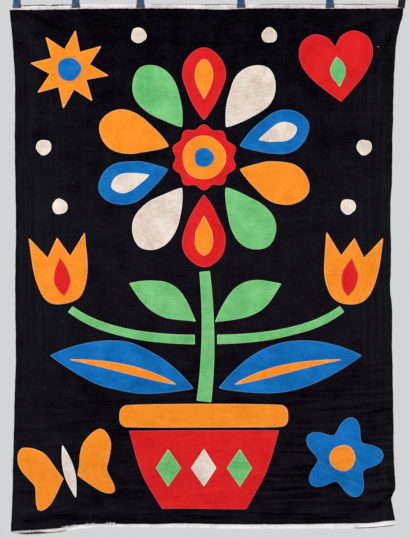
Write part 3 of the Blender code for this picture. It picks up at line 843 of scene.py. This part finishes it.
# %% Helpers for a tape
TAPE_BEHIND = 0.0003
TAPE_THICKNESS = 0.0010
TAPE_ROLL = 0.0006
TAPE_LINES = (0, 0.0006, 0.0015)
TAPE_STEP = 0.0016
TAPE_COLUMN = 0.0046
UNSHADED_TAPE = 1.1
GROOVE_DEPTH = 0.0004
PUCKER = 0.00022
CLIP_CALMS = 0.030
PULLED_UP = 0.0021
HEAD_SEED = 1
FOOT_SEED = 3
clip_names = [node for node in solids if node.startswith("clip_")]
clip_places = np.array([sum(corner.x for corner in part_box(node)) / 2 for node in clip_names])


def pucker(x, z, seed):
    """Small backward waves of a tape, calm where a clip grips it."""
    waves = np.sin(92 * x + seed) + np.sin(171 * x + 40 * z + 2 * seed) + np.sin(52 * x - seed)
    near_clip = np.abs(x[:, None] - clip_places[None, :]).min(axis=1)
    calm = 1 - np.exp(-((near_clip / CLIP_CALMS) ** 2))
    return PUCKER * (waves + 3) * (calm if seed == HEAD_SEED else 1)


def between(x, start, end, fade=0.02):
    """1 from start to end, and 0 outside, with soft ends."""
    return soft_step((x - start) / fade) * (1 - soft_step((x - end) / fade))


def broken(x, seed):
    """A line that comes and goes, from 0 to 1."""
    return np.clip(0.55 + 0.6 * np.sin(83 * x + seed) + 0.5 * np.sin(211 * x + 2 * seed), 0, 1)


def soft_line(far, half_width):
    """1 on a line, and less to its sides."""
    return np.exp(-((far / half_width) ** 2))


# %% Say where the tapes are painted with shade
# A painted shadow line along the top of the head tape: its strength along x.
TOP_SHADOW_LINE = (
    (-0.08, -0.02, 0.014, 0.05, 0.10, 0.18, 0.24, 0.30, 0.34, 0.40, 0.54, 0.60),
    (0.32, 0.80, 1.60, 1.20, 0.60, 0.35, 0.85, 0.35, 0.80, 1.15, 1.60, 0.65),
)
TOP_SHADOW_HALF_WIDTH = 0.0018
FOLD_RISE = ((-0.630, -0.575, -0.520, -0.470), (0.0012, 0.0062, 0.0046, 0.0040))
FOLD_HALF_WIDTH = 0.0021


def head_tape_shade(x, z):
    """How grey the head tape is painted: shade near the black, and a shadow line along its top."""
    below_top = head_sides.top(x) - z
    wavy = below_top - 0.0012 - 0.0006 * np.sin(70 * x)
    # The painted shadow line is strongest at the left end, where it comes and goes.
    strong = 1.9 * between(x, -0.63, -0.44) * broken(x, 1)
    top_shadow = strong + np.interp(x, *TOP_SHADOW_LINE)
    # Painted shade: the whole head tape a little grey, and greyer near the black cloth.
    grey_shade = 0.22 + 0.10 * soft_step(x / 0.60) + 0.55 * soft_step(below_top / 0.010)
    grey_shade -= 0.60 * soft_step((below_top - 0.018) / 0.006)
    return grey_shade + top_shadow * soft_line(wavy, TOP_SHADOW_HALF_WIDTH)


def foot_tape_shade(x, z):
    """Painted shade on the foot tape: its fold and left end, and a shadow at its lower right edge."""
    above_foot = z - foot_sides.bottom(x)
    fold = above_foot - np.interp(x, *FOLD_RISE) - 0.0003 * np.sin(131 * x)
    # Painted shade in the fold at the left, and darker towards the left end.
    left = 4.6 * between(x, -0.616, -0.552, 0.02) + 2.2 * between(x, -0.640, -0.475, 0.02)
    creased = 1.0 * (1 - soft_step((x + 0.62) / 0.16))
    # A painted shadow line along the lower edge at the right.
    lower = 3.2 * between(x, 0.505, 0.640, 0.012) * soft_line(above_foot - 0.0012, 0.0016)
    return left * soft_line(fold, FOLD_HALF_WIDTH) + lower + creased


def groove_of(shade_of, x, z):
    """How far the tape sinks where a fold or a crease makes it darkest."""
    return GROOVE_DEPTH * np.clip(shade_of(x, z) - 1.5, 0, 2)


# %% Make the tapes
def make_tape(name, node, seed, wander, shade_of, sides):
    """One tape over its solid, one gap behind the black cloth."""
    width = np.ptp(outline_of(node)[:, 0])
    tall = float(sides.top(0) - sides.bottom(0))
    columns = crowded(width, TAPE_LINES, TAPE_COLUMN)
    bm = woven_grid(sides, columns, crowded(tall, TAPE_LINES, TAPE_STEP), wander)
    x, z = points_of(bm.verts)
    # The tape's note holds its painted shade.
    note(bm, "painted_shade_and_tone", UNSHADED_TAPE - shade_of(x, z))
    far = read_note(bm, "edge", bm.verts) / 1000
    behind = GROUND_THICKNESS + TAPE_BEHIND
    lift = pucker(x, z, seed) + rolled(far, ROLL_DEPTH, TAPE_ROLL) + groove_of(shade_of, x, z)
    set_heights(bm.verts, hang(x, z) + behind + lift)

    def tape_back(x, z, far):
        back = hang(x, z) + behind + TAPE_THICKNESS + pucker(x, z, seed)
        return back + groove_of(shade_of, x, z) - rolled(far, 0.0003, TAPE_ROLL)

    close_behind(bm, tape_back)
    tape = finish_sheet(name, bm, "tape_white")
    dress(tape, node)
    return tape


plain_head = four_sides(outline_of("top_tape"))


def raised_top(x):
    """The top of the head tape as it is drawn up, all but at its left end."""
    return plain_head.top(x) + PULLED_UP * soft_step((x + 0.47) / 0.06)


head_sides = plain_head._replace(top=raised_top)
foot_sides = four_sides(outline_of("foot_tape"))
head_tape = make_tape("head_tape", "top_tape", HEAD_SEED, 0.0002, head_tape_shade, head_sides)
foot_tape = make_tape("foot_tape_sewn", "foot_tape", FOOT_SEED, 0.0004, foot_tape_shade, foot_sides)
print("tapes:", [len(tape.data.polygons) for tape in (head_tape, foot_tape)], "faces")

# %% [markdown]
# ## The sewn pieces
# Each bright piece is cut a little large, its edge is turned under by the width of a finger nail,
# and it is laid on the ground and sewn down along that edge. So a piece has a rounded rim, a band
# around it where the cloth lies double, and a middle that lies lower and a little loose. An outline
# face is inset twice for the rim, and cutting planes then give its middle enough points to follow
# the hung surface. Every stitch holds the rim down, so it dips there.

# %% Helpers for a sewn piece
LAYER = 0.0013
PIECE_THICKNESS = 0.0010
RIM_STEPS = (0.0006, 0.0009)
RIM_ROLL = (0.0005, 0.0015)
TURNED_UNDER = 0.007
DOUBLE_BAND = 0.00025
BAND_SUNK = 0.00010
LOOSE_MIDDLE = 0.00016
PLAIN_STEP = 0.008
HELD_DIP = 0.00018
# Sewn pieces carry half of the painted crease shade and tone of the cloth below them.
SEWN_SHADE_SHARE = 0.5


def away_from(line, x, z):
    """The distance to a closed line for each place, and which of its points is nearest."""
    start = line[None, :, :]
    run = np.roll(line, -1, axis=0)[None, :, :] - start
    place = np.stack([x, z], axis=1)[:, None, :] - start
    share = np.clip((place * run).sum(2) / (run * run).sum(2), 0, 1)
    far = np.linalg.norm(place - share[:, :, None] * run, axis=2)
    nearest = far.argmin(axis=1)
    row = np.arange(len(x))
    return far[row, nearest], nearest + (share[row, nearest] > 0.5)


def cut_middle(bm, middle_faces):
    """Cut the middle of a piece along upright and level lines."""
    outside = set(bm.faces) - set(middle_faces)
    corners = [v.co for f in middle_faces for v in f.verts]
    for axis, normal in ((0, (1, 0, 0)), (2, (0, 0, 1))):
        low = min(c[axis] for c in corners)
        high = max(c[axis] for c in corners)
        for line in range(math.ceil(low / PLAIN_STEP), math.floor(high / PLAIN_STEP) + 1):
            inside = [f for f in bm.faces if f not in outside]
            geom = inside + list({e for f in inside for e in f.edges})
            geom += list({v for f in inside for v in f.verts})
            point = [0, 0, 0]
            point[axis] = line * PLAIN_STEP
            bmesh.ops.bisect_plane(bm, geom=geom, dist=2e-5, plane_co=point, plane_no=normal)


def sewn_lift(x, z, far, nearest):
    """How far a sewn piece stands above its layer: rim, double band, loose middle, held dips."""
    band = DOUBLE_BAND * (1 - soft_step((far - TURNED_UNDER) / 0.003)) - BAND_SUNK
    loose = LOOSE_MIDDLE * np.sin(130 * x + 60 * z) * np.sin(95 * z - 50 * x + 1)
    held = HELD_DIP * (nearest % 2) * np.exp(-((far / 0.0025) ** 2))
    return band + loose * soft_step(far / 0.012) - held - rolled(far, *RIM_ROLL)


def sewn_piece(node, layer, grain_turn):
    """One sewn piece over its solid, on the layer that it lies on."""
    cut = hand_cut(outline_of(node), node in ROUND_PIECES)
    bm = bmesh.new()
    whole = bm.faces.new([bm.verts.new((x, 0, z)) for x, z in cut])
    for step in RIM_STEPS:
        bmesh.ops.inset_region(
            bm, faces=[whole], thickness=step, use_boundary=True, use_even_offset=True
        )
    cut_middle(bm, [whole])
    many_sided = [f for f in bm.faces if len(f.verts) > 4]
    bmesh.ops.triangulate(bm, faces=many_sided)
    x, z = points_of(bm.verts)
    far, nearest = away_from(cut, x, z)
    note(bm, "edge", far * 1000)
    turn = math.radians(grain_turn)
    note(bm, "grain_across", x * math.cos(turn) + z * math.sin(turn))
    note(bm, "grain_along", z * math.cos(turn) - x * math.sin(turn))
    note_shade_and_ripples(bm, SEWN_SHADE_SHARE)
    set_heights(bm.verts, hang(x, z) - layer * LAYER - sewn_lift(x, z, far, nearest))

    def piece_back(x, z, far):
        return hang(x, z) - layer * LAYER + PIECE_THICKNESS

    close_behind(bm, piece_back)
    piece = finish_sheet("sewn_" + node, bm, slot_of[node])
    dress(piece, node)
    return piece, cut


# %% Sew every piece
not_sewn = set(clip_names) | {"ground_cloth", "top_tape", "foot_tape"}
GRAIN_SPREAD = 44
GOLDEN_SHARE = 0.618
PROBES = 40


def layer_of(node):
    """Which layer a solid lies on, from how far its front stands off the black cloth's solid."""
    fronts = [v.co for v in solids[node].data.vertices]
    stands = []
    for place in fronts[:PROBES]:
        hit = solid_front(place.x, place.z)
        if hit:
            stands.append(hit.y - place.y)
    return max(1, round(max(stands) / LAYER))


sewn = {}
for k, node in enumerate(sorted(set(solids) - not_sewn)):
    layer = layer_of(node)
    grain_turn = GRAIN_SPREAD * (GOLDEN_SHARE * k % 1) - GRAIN_SPREAD / 2
    piece, cut = sewn_piece(node, layer, grain_turn)
    sewn[node] = (piece, cut, layer)
counts = [len(piece.data.polygons) for piece, cut, layer in sewn.values()]
print(len(sewn), "sewn pieces,", sum(counts), "faces, at most", max(counts))

# %% [markdown]
# ## The sewing thread
# A hand-sewn edge is held by small slanting stitches, about 9 mm apart, in thread of the piece's own
# colour. Each comes up through the ground just outside the edge, and goes over the rim. Behind the
# ground, the same thread runs from stitch to stitch, so the design shows there as dotted lines. One
# small rounded stitch is modelled, and an array of its copies is joined into one mesh per colour.

# %% Helpers for stitches
TOWARDS_VIEWER = np.array((0.0, -1.0, 0.0))
THREAD_ROUGHNESS = 0.62
THREAD_GLOSS = 0.35


def stitch_shape():
    """The points and faces of one stitch of length, width and height 1, along x."""
    bm = bmesh.new()
    bmesh.ops.create_icosphere(bm, subdivisions=1, radius=0.5)
    points = np.array([v.co[:] for v in bm.verts])
    faces = np.array([[v.index for v in f.verts] for f in bm.faces])
    bm.free()
    return points, faces


def unit(vectors):
    return vectors / np.linalg.norm(vectors, axis=-1, keepdims=True)


def in_space(flat, y):
    """Places or directions that are given as (x, z), with their y set between."""
    return np.stack([flat[:, 0], np.broadcast_to(y, len(flat)), flat[:, 1]], axis=1)


def thread_frames(along, size):
    """Turns for stitches that run along some directions, with their length, width and height."""
    along = unit(along)
    up = unit(np.cross(along, np.cross(TOWARDS_VIEWER, along)))
    side = np.cross(up, along)
    return np.stack([along * size[0], side * size[1], up * size[2]], axis=2)


def joined_copies(name, shape, frames, places, finish):
    """One object from many copies of a shape, each with its own frame and place."""
    points, faces = shape
    spots = np.einsum("nij,kj->nki", frames, points) + places[:, None, :]
    shift = np.arange(len(places))[:, None, None] * len(points)
    mesh = bpy.data.meshes.new(name)
    mesh.from_pydata(spots.reshape(-1, 3), [], (faces[None] + shift).reshape(-1, faces.shape[1]))
    mesh.shade_smooth()
    mesh.materials.append(finish)
    made = add_object(name, mesh)
    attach(made, "root")
    return made


def thread(name, colour):
    """Twisted cotton thread: a little shinier than cloth, with its twist as a fine relief."""
    made, shader, add, link = new_finish(name, THREAD_ROUGHNESS, THREAD_GLOSS)
    place = add("ShaderNodeTexCoord")
    shade = add("ShaderNodeTexNoise", Scale=900.0, Detail=2.0)
    link(place.outputs["Object"], shade.inputs["Vector"])
    deep = linear([c * 0.72 for c in colour])
    light = linear([min(255, c * 1.06) for c in colour])
    link(add_mix(add, link, shade.outputs["Fac"], deep, light), shader.inputs["Base Color"])
    relief = add("ShaderNodeBump", Strength=0.5, Distance=0.0001)
    link(shade.outputs["Fac"], relief.inputs["Height"])
    link(relief.outputs["Normal"], shader.inputs["Normal"])
    return made


# %% Sew the edges down
STITCH_EVERY = 2
FRONT_STITCH = (0.0030, 0.00055, 0.00055)
BACK_STITCH = (0.0036, 0.00050, 0.00045)
STITCH_SLANT = 0.45
STITCH_DIVE = -0.34
OVER_RIM = 0.0005
FRONT_SUNK = 0.0001
BACK_SUNK = 0.00035


def edge_stitches(cut, layer):
    """Frames and places of the stitches over one piece's rim, and of the thread behind them."""
    spots = cut[1::STITCH_EVERY]
    run = unit(np.roll(cut, -1, axis=0) - np.roll(cut, 1, axis=0))[1::STITCH_EVERY]
    inward = np.stack([-run[:, 1], run[:, 0]], axis=1)
    middle = spots + inward * OVER_RIM
    hung = hang(middle[:, 0], middle[:, 1])
    slant = in_space(inward + STITCH_SLANT * run, STITCH_DIVE)
    frames = (thread_frames(slant, FRONT_STITCH), thread_frames(in_space(run, 0), BACK_STITCH))
    front = in_space(middle, hung - layer * LAYER - FRONT_SUNK)
    behind = in_space(middle, hung + GROUND_THICKNESS - BACK_SUNK)
    return frames, (front, behind)


threads = {slot: thread("thread_" + slot, dye.light) for slot, dye in DYES.items()}
stitch = stitch_shape()
by_slot = {}
for node, (piece, cut, layer) in sewn.items():
    frames, places = edge_stitches(cut, layer)
    rows = by_slot.setdefault(slot_of[node], ([], []))
    rows[0].extend(frames)
    rows[1].extend(places)
for slot, (frames, places) in sorted(by_slot.items()):
    name = "stitches_" + slot.split("_")[1]
    done = joined_copies(
        name, stitch, np.concatenate(frames), np.concatenate(places), threads[slot]
    )
    print(name, len(np.concatenate(places)))

# %% [markdown]
# ## Hem stitches
# The hems and the tapes are held by running stitches in black thread. They follow the sides of the
# cloth at the hem's width, and each one sinks a little into it. The upper edge of the head tape is
# also whipped over with the same thread, in runs that are thick at its left end and thin along the
# rest. These dark runs stand in for the broken shadow line along the tape's top: a painted shadow.

# %% Sew the hems
HEM_STITCH = (0.0042, 0.0005, 0.0005)
HEM_STITCH_PITCH = 0.0072
HEM_LINE = 0.0122
HEM_STITCH_DEPTHS = (-0.00004, GROUND_THICKNESS - 0.0001)


def side_lines(sides, inset):
    """Lines that run inside the four sides of the ground, at one distance."""
    left, right, top, bottom = sides
    z = np.arange(float(bottom(0)) + inset, float(top(0)) - inset, HEM_STITCH_PITCH)
    x = np.arange(float(left(-1)) + inset, float(right(-1)) - inset, HEM_STITCH_PITCH)
    return (
        np.stack([left(z) + inset, z], axis=1),
        np.stack([right(z) - inset, z], axis=1),
        np.stack([x, top(x) - inset], axis=1),
        np.stack([x, bottom(x) + inset], axis=1),
    )


# %% Whip the head tape over, where its top shows a dark shadow line
SHADOW_STITCH_PITCH = 0.0034
SHADOW_STITCH_REACH = 0.66
SHADOW_STITCH_HEIGHT = 0.0008
LEAST_SHADOW_STITCH = 0.2
ShadowRun = namedtuple("ShadowRun", "start end size")
SHADOW_LINE_RUNS = (
    ShadowRun(-0.655, -0.548, 0.80),
    ShadowRun(-0.563, -0.542, 0.50),
    ShadowRun(-0.520, -0.455, 0.80),
    ShadowRun(-0.520, -0.484, 0.50),
    ShadowRun(-0.185, 0.110, 0.36),
    ShadowRun(0.000, 0.085, 0.26),
    ShadowRun(0.190, 0.650, 0.46),
    ShadowRun(0.470, 0.560, 0.20),
)


def sized_frames(along, sizes):
    """Frames of stitches that each have a length, width and height of their own."""
    return thread_frames(along, (1, 1, 1)) * sizes[:, None, :]


def shadow_line_stitches():
    """Black thread stitches over the top of the head tape, in runs, standing in for its shadow line."""
    x = np.arange(-SHADOW_STITCH_REACH, SHADOW_STITCH_REACH, SHADOW_STITCH_PITCH)
    size = sum(run.size * between(x, run.start, run.end, 0.006) for run in SHADOW_LINE_RUNS)
    x, size = x[size > LEAST_SHADOW_STITCH], size[size > LEAST_SHADOW_STITCH]
    size = size * (0.90 + 0.20 * np.sin(400 * x))
    rise = 0.0010 * soft_step((x + 0.3) / 0.1)
    z = head_sides.top(x) - 0.0003 + rise - 0.0004 * np.sin(70 * x)
    y = hang(x, z) + GROUND_THICKNESS + TAPE_BEHIND + pucker(x, z, HEAD_SEED) - 0.0001
    along = np.stack([np.ones(len(x)), np.zeros(len(x)), 0.3 * size], axis=1)
    height = np.full(len(x), SHADOW_STITCH_HEIGHT)
    sizes = np.stack([0.0040 + 0.0040 * size, 0.0036 * size, height], axis=1)
    return sized_frames(along, sizes), np.stack([x, y, z], axis=1)


frames, places = [[part] for part in shadow_line_stitches()]
print("whip stitches:", len(places[0]))
for line in side_lines(ground_sides, HEM_LINE):
    along = in_space(np.gradient(line, axis=0), 0)
    for depth in HEM_STITCH_DEPTHS:
        frames.append(thread_frames(along, HEM_STITCH))
        places.append(in_space(line, hang(line[:, 0], line[:, 1]) + depth))
hem_stitches = joined_copies(
    "stitches_black", stitch, np.concatenate(frames), np.concatenate(places), threads["cotton_black"]
)
print("hem stitches:", sum(len(part) for part in places[1:]))

# %% [markdown]
# ## Frays and lint
# At three places near the left end of the foot, the tape's raw edge has come through and lies over
# the black as ragged white threads, and single threads lie along the rest. A few specks of lint
# cling to the black, as they do to any dark cotton, and one brighter bit near the upper right. All
# are copies of the same small shape, drawn out thin.

# %% Scatter the loose fibres
Fray = namedtuple("Fray", "start end count rise")
FRAYS = (
    Fray(-0.482, -0.434, 70, 0.0050),
    Fray(-0.402, -0.372, 40, 0.0030),
    Fray(-0.334, -0.302, 60, 0.0046),
    Fray(-0.640, -0.500, 30, 0.0005),
    Fray(-0.270, 0.600, 60, -0.0004),
)
FRAY_LOW = -0.0030
FRAY_LIFT = 0.0004
FRAY_SIZES = ((0.003, 0.009), (0.0006, 0.0014), (0.0004, 0.0007))


def scattered(name, x, z, tilt, sizes, lift, slot):
    """Fibres over the cloth, at places x and z and turned by tilt."""
    run = np.stack([np.cos(tilt), np.zeros(len(x)), np.sin(tilt)], axis=1)
    places = np.stack([x, hang(x, z) - lift, z], axis=1)
    made = joined_copies(name, stitch, sized_frames(run, sizes), places, threads[slot])


x = np.concatenate([chance.uniform(f.start, f.end, f.count) for f in FRAYS])
rise = np.concatenate([chance.uniform(FRAY_LOW, f.rise, f.count) for f in FRAYS])
count = len(x)
sizes = np.stack([chance.uniform(*span, count) for span in FRAY_SIZES], axis=1)
tilt = chance.uniform(-0.7, 0.7, count)
z = ground_sides.bottom(x) + rise
scattered("fray_white", x, z, tilt, sizes, FRAY_LIFT, "tape_white")
print("frayed threads:", count)

# %% Scatter the lint
LINT_COUNT = 26
LINT_LIFT = 0.0005
LINT_WIDTH = 0.0005
LINT_HEIGHT = 0.0004
BRIGHT_LINT = (0.592, -0.1905)
BRIGHT_LINT_SIZE = (0.0090, 0.0015, 0.0008)
BRIGHT_LINT_TILT = 0.06
x = np.append(chance.uniform(-0.60, 0.60, LINT_COUNT), BRIGHT_LINT[0])
z = np.append(chance.uniform(-1.75, -0.10, LINT_COUNT), BRIGHT_LINT[1])
lengths = chance.uniform(0.0012, 0.0026, len(x))
sizes = np.stack([lengths, np.full(len(x), LINT_WIDTH), np.full(len(x), LINT_HEIGHT)], axis=1)
tilt = chance.uniform(-1.5, 1.5, len(x))
sizes[-1] = BRIGHT_LINT_SIZE
tilt[-1] = BRIGHT_LINT_TILT
scattered("lint_specks", x, z, tilt, sizes, LINT_LIFT, "cotton_white")
print("specks of lint:", len(x))

# %% [markdown]
# ## The clips
# A hanging clip is one bar of plastic, bent double at its closed top and open below, where its two
# jaws grip the tape. The bar is drawn as its end view, a narrow U, and pushed out to its width. Its
# top is then rounded, its long edges are eased and a shallow panel is let into its front. Each jaw
# has a dark lip, and a soft brown pad that shows as a thin margin at both sides. Five clips are
# blue. The black one at the right corner is narrower, and it leans outwards as its line is pulled.

# %% Finishes for the clips
def plastic(name, light, deep, roughness, gloss):
    """Moulded plastic: nearly one colour, with fine scuffs that make its shine uneven."""
    made, shader, add, link = new_finish(name, roughness, gloss)
    place = add("ShaderNodeTexCoord")
    patches = add("ShaderNodeTexNoise", Scale=60.0, Detail=5.0)
    link(place.outputs["Object"], patches.inputs["Vector"])
    mixed = add_mix(add, link, patches.outputs["Fac"], linear(deep), linear(light))
    link(mixed, shader.inputs["Base Color"])
    scuffs = add("ShaderNodeTexNoise", Scale=420.0, Detail=6.0)
    link(place.outputs["Object"], scuffs.inputs["Vector"])
    dull = add("ShaderNodeMapRange")
    dull.inputs["To Min"].default_value = roughness - 0.10
    dull.inputs["To Max"].default_value = roughness + 0.18
    link(scuffs.outputs["Fac"], dull.inputs["Value"])
    link(dull.outputs["Result"], shader.inputs["Roughness"])
    relief = add("ShaderNodeBump", Strength=0.15, Distance=0.0002)
    link(scuffs.outputs["Fac"], relief.inputs["Height"])
    link(relief.outputs["Normal"], shader.inputs["Normal"])
    return made


clip_finishes = {
    "clip_blue": plastic("clip_blue", (48, 77, 116), (30, 54, 90), 0.42, 0.25),
    "clip_black": plastic("clip_black", (36, 18, 18), (20, 8, 9), 0.45, 0.15),
}
lip_finishes = {
    "clip_blue": plastic("blue_clip_lip", (40, 44, 68), (24, 28, 46), 0.55, 0.25),
    "clip_black": plastic("black_clip_lip", (26, 14, 14), (16, 8, 8), 0.55, 0.15),
}
pad_finish = plastic("clip_pad", (126, 106, 100), (94, 80, 78), 0.80, 0.25)

# %% Shape a clip
CLIP_HALF = 0.0032
SLOT_HALF = 0.0008
CLIP_MIDDLE = 0.0008
SLOT_TALL = 0.012
LIP_TALL = 0.0022
PANEL_INSET = 0.0035
PANEL_SLOPE = 0.0007
PANEL_DEPTH = 0.0006
TOP_ROUND = 0.96
EASED = 0.0005
PAD_TALL = 0.0112
PAD_LIFT = 0.0004
PAD_THICKNESS = 0.0007
PAD_PROUD = 0.0001
PAD_SLOT = 2
LEANS = {"clip_6": math.radians(8)}


def end_view(low_z, high_z):
    """A clip from its end: a narrow U that opens downwards, as (y, z) points."""
    front, back = CLIP_MIDDLE - CLIP_HALF, CLIP_MIDDLE + CLIP_HALF
    slot_front, slot_back = CLIP_MIDDLE - SLOT_HALF, CLIP_MIDDLE + SLOT_HALF
    slot_top = low_z + SLOT_TALL
    front_jaw = [(back, high_z), (front, high_z), (front, low_z), (slot_front, low_z)]
    back_jaw = [(slot_front, slot_top), (slot_back, slot_top), (slot_back, low_z), (back, low_z)]
    return front_jaw + back_jaw


def bent_bar(half_width, low_z, high_z):
    """The bar of a clip with its rounded top and its front panel."""
    bm = bmesh.new()
    end = bm.faces.new([bm.verts.new((-half_width, y, z)) for y, z in end_view(low_z, high_z)])
    pushed = bmesh.ops.extrude_face_region(bm, geom=[end])
    far_end = [part for part in pushed["geom"] if isinstance(part, bmesh.types.BMVert)]
    bmesh.ops.translate(bm, verts=far_end, vec=(2 * half_width, 0, 0))
    bmesh.ops.recalc_face_normals(bm, faces=bm.faces)
    top_edges = [e for e in bm.edges if all(v.co.z > high_z - 1e-5 for v in e.verts)]
    top_edges = [e for e in top_edges if abs(e.verts[0].co.x - e.verts[1].co.x) > half_width]
    bmesh.ops.bevel(
        bm, geom=top_edges, offset=CLIP_HALF * TOP_ROUND, affect="EDGES", segments=6, profile=0.5,
        material=-1,
    )
    for cut_z in (low_z + LIP_TALL, low_z + SLOT_TALL + 0.002):
        everything = bm.verts[:] + bm.edges[:] + bm.faces[:]
        bmesh.ops.bisect_plane(
            bm, geom=everything, dist=1e-6, plane_co=(0, 0, cut_z), plane_no=(0, 0, 1)
        )
    front = [f for f in bm.faces if f.normal.y < -0.9 and f.calc_center_median().z > low_z + 0.02]
    panel = max(front, key=lambda f: f.calc_area())
    for thickness, depth in ((PANEL_INSET, 0), (PANEL_SLOPE, -PANEL_DEPTH)):
        bmesh.ops.inset_region(
            bm, faces=[panel], thickness=thickness, depth=depth, use_even_offset=True
        )
    return bm


def ease_edges(bm, width):
    """Take the sharpness off every long edge."""
    sharp = [e for e in bm.edges if len(e.link_faces) == 2 and e.calc_face_angle() > math.radians(50)]
    bmesh.ops.bevel(
        bm, geom=sharp, offset=width, affect="EDGES", segments=2, profile=0.5, material=-1,
        clamp_overlap=True,
    )


def add_pads(bm, half_width, low_z):
    """A soft pad on the inside of each jaw."""
    sunk = SLOT_HALF + PAD_THICKNESS / 2 - PAD_PROUD
    for y in (CLIP_MIDDLE - sunk, CLIP_MIDDLE + sunk):
        pad = bmesh.ops.create_cube(bm, size=1)["verts"]
        bmesh.ops.scale(bm, verts=pad, vec=(2 * half_width, PAD_THICKNESS, PAD_TALL))
        bmesh.ops.translate(bm, verts=pad, vec=(0, y, low_z + PAD_LIFT + PAD_TALL / 2))
        for face in {face for v in pad for face in v.link_faces}:
            face.material_index = PAD_SLOT


# %% Make the clips
def make_clip(node):
    """One clip over its solid, as wide as that solid's bar and pads."""
    low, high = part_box(node)
    places = [v.co for v in solids[node].data.vertices]
    centre = (low.x + high.x) / 2
    bar = max(abs(p.x - centre) for p in places if p.z > high.z - 0.02)
    foot = max(abs(p.x - centre) for p in places if p.z < low.z + 0.001)
    bm = bent_bar(bar, low.z, high.z)
    ease_edges(bm, EASED)
    for face in bm.faces:
        face.material_index = 1 if face.calc_center_median().z < low.z + LIP_TALL else 0
    add_pads(bm, foot, low.z)
    tilt = Matrix.Rotation(LEANS.get(node, 0.0), 3, "Y")
    bmesh.ops.rotate(bm, verts=bm.verts, cent=(0, 0, low.z), matrix=tilt)
    bmesh.ops.translate(bm, verts=bm.verts, vec=(centre, 0, 0))
    bmesh.ops.recalc_face_normals(bm, faces=bm.faces)
    mesh = bpy.data.meshes.new("hanging_" + node)
    bm.to_mesh(mesh)
    bm.free()
    mesh.shade_smooth()
    mesh.set_sharp_from_angle(angle=math.radians(35))
    for finish in (clip_finishes[slot_of[node]], lip_finishes[slot_of[node]], pad_finish):
        mesh.materials.append(finish)
    clip = add_object("hanging_" + node, mesh)
    dress(clip, node)
    return clip


clips = [make_clip(node) for node in clip_names]
print("clips:", [len(clip.data.polygons) for clip in clips], "faces")

# %% [markdown]
# ## The tapes' boxes
# A tape is a usual one, 40 mm wide, as long as its solid. Here only the box of each tape's solid
# is read.


for tape, node in ((head_tape, "top_tape"), (foot_tape, "foot_tape")):
    low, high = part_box(node)

# %% [markdown]
# ## Floor, light and camera
# The floor and the surroundings are plain and pale. The photo's light is soft and nearly even, with
# a little more from the upper left, which is what shows the creases. The camera looks level at the
# middle of the cloth from far enough away that its edges stay straight.

# %% Floor
FLOOR_Z = -2.20
FLOOR_HALF = (2.3, 2.0, 1)
FLOOR_AHEAD = -0.7
floor_mesh = bpy.data.meshes.new("floor")
bm = bmesh.new()
bmesh.ops.create_grid(bm, x_segments=1, y_segments=1, size=1.0)
bmesh.ops.scale(bm, verts=bm.verts, vec=FLOOR_HALF)
bmesh.ops.translate(bm, verts=bm.verts, vec=(0, FLOOR_AHEAD, FLOOR_Z))
bm.to_mesh(floor_mesh)
bm.free()
floor = add_object("floor", floor_mesh)
floor_finish, shader = new_finish("pale_floor", 0.9, 0.2)[:2]
shader.inputs["Base Color"].default_value = linear((214, 214, 216))
floor_mesh.materials.append(floor_finish)
print("the floor lies at", FLOOR_Z)

# %% Light
WALL = (211, 212, 214)
world = bpy.data.worlds.new("pale_studio")
bpy.context.scene.world = world
world.use_nodes = True
background = world.node_tree.nodes["Background"]
background.inputs["Color"].default_value = linear(WALL)
background.inputs["Strength"].default_value = 1.0
Lamp = namedtuple("Lamp", "name place size watts")
LAMPS = (
    Lamp("key_light", (-2.6, -3.4, 1.4), 1.6, 94),
    Lamp("fill_light", (2.6, -3.8, -0.6), 2.4, 38),
    Lamp("back_light", (1.5, 3.4, 0.6), 2.4, 60),
)
aim_at = Vector((0, 0, -0.95))
for lamp in LAMPS:
    light = bpy.data.lights.new(lamp.name, "AREA")
    light.size = lamp.size
    light.energy = lamp.watts
    holder = add_object(lamp.name, light)
    holder.location = lamp.place
    holder.rotation_euler = (aim_at - holder.location).to_track_quat("-Z", "Y").to_euler()
print(len(LAMPS), "lamps")

# %% Camera
PIXEL = 0.0034
PICTURE = (410, 538)
DISTANCE = 4.5
SENSOR = 36.0
CAMERA_Z = -0.946
camera_data = bpy.data.cameras.new("camera")
camera_data.sensor_width = SENSOR
camera_data.lens = SENSOR * DISTANCE / (PICTURE[1] * PIXEL)
camera = add_object("camera", camera_data)
camera.location = (PIXEL, -DISTANCE, CAMERA_Z)
camera.rotation_euler = (math.radians(90), 0, 0)
bpy.context.scene.camera = camera
bpy.context.scene.view_settings.view_transform = "Standard"
print("the camera sees", [round(side * PIXEL, 2) for side in PICTURE], "metres")
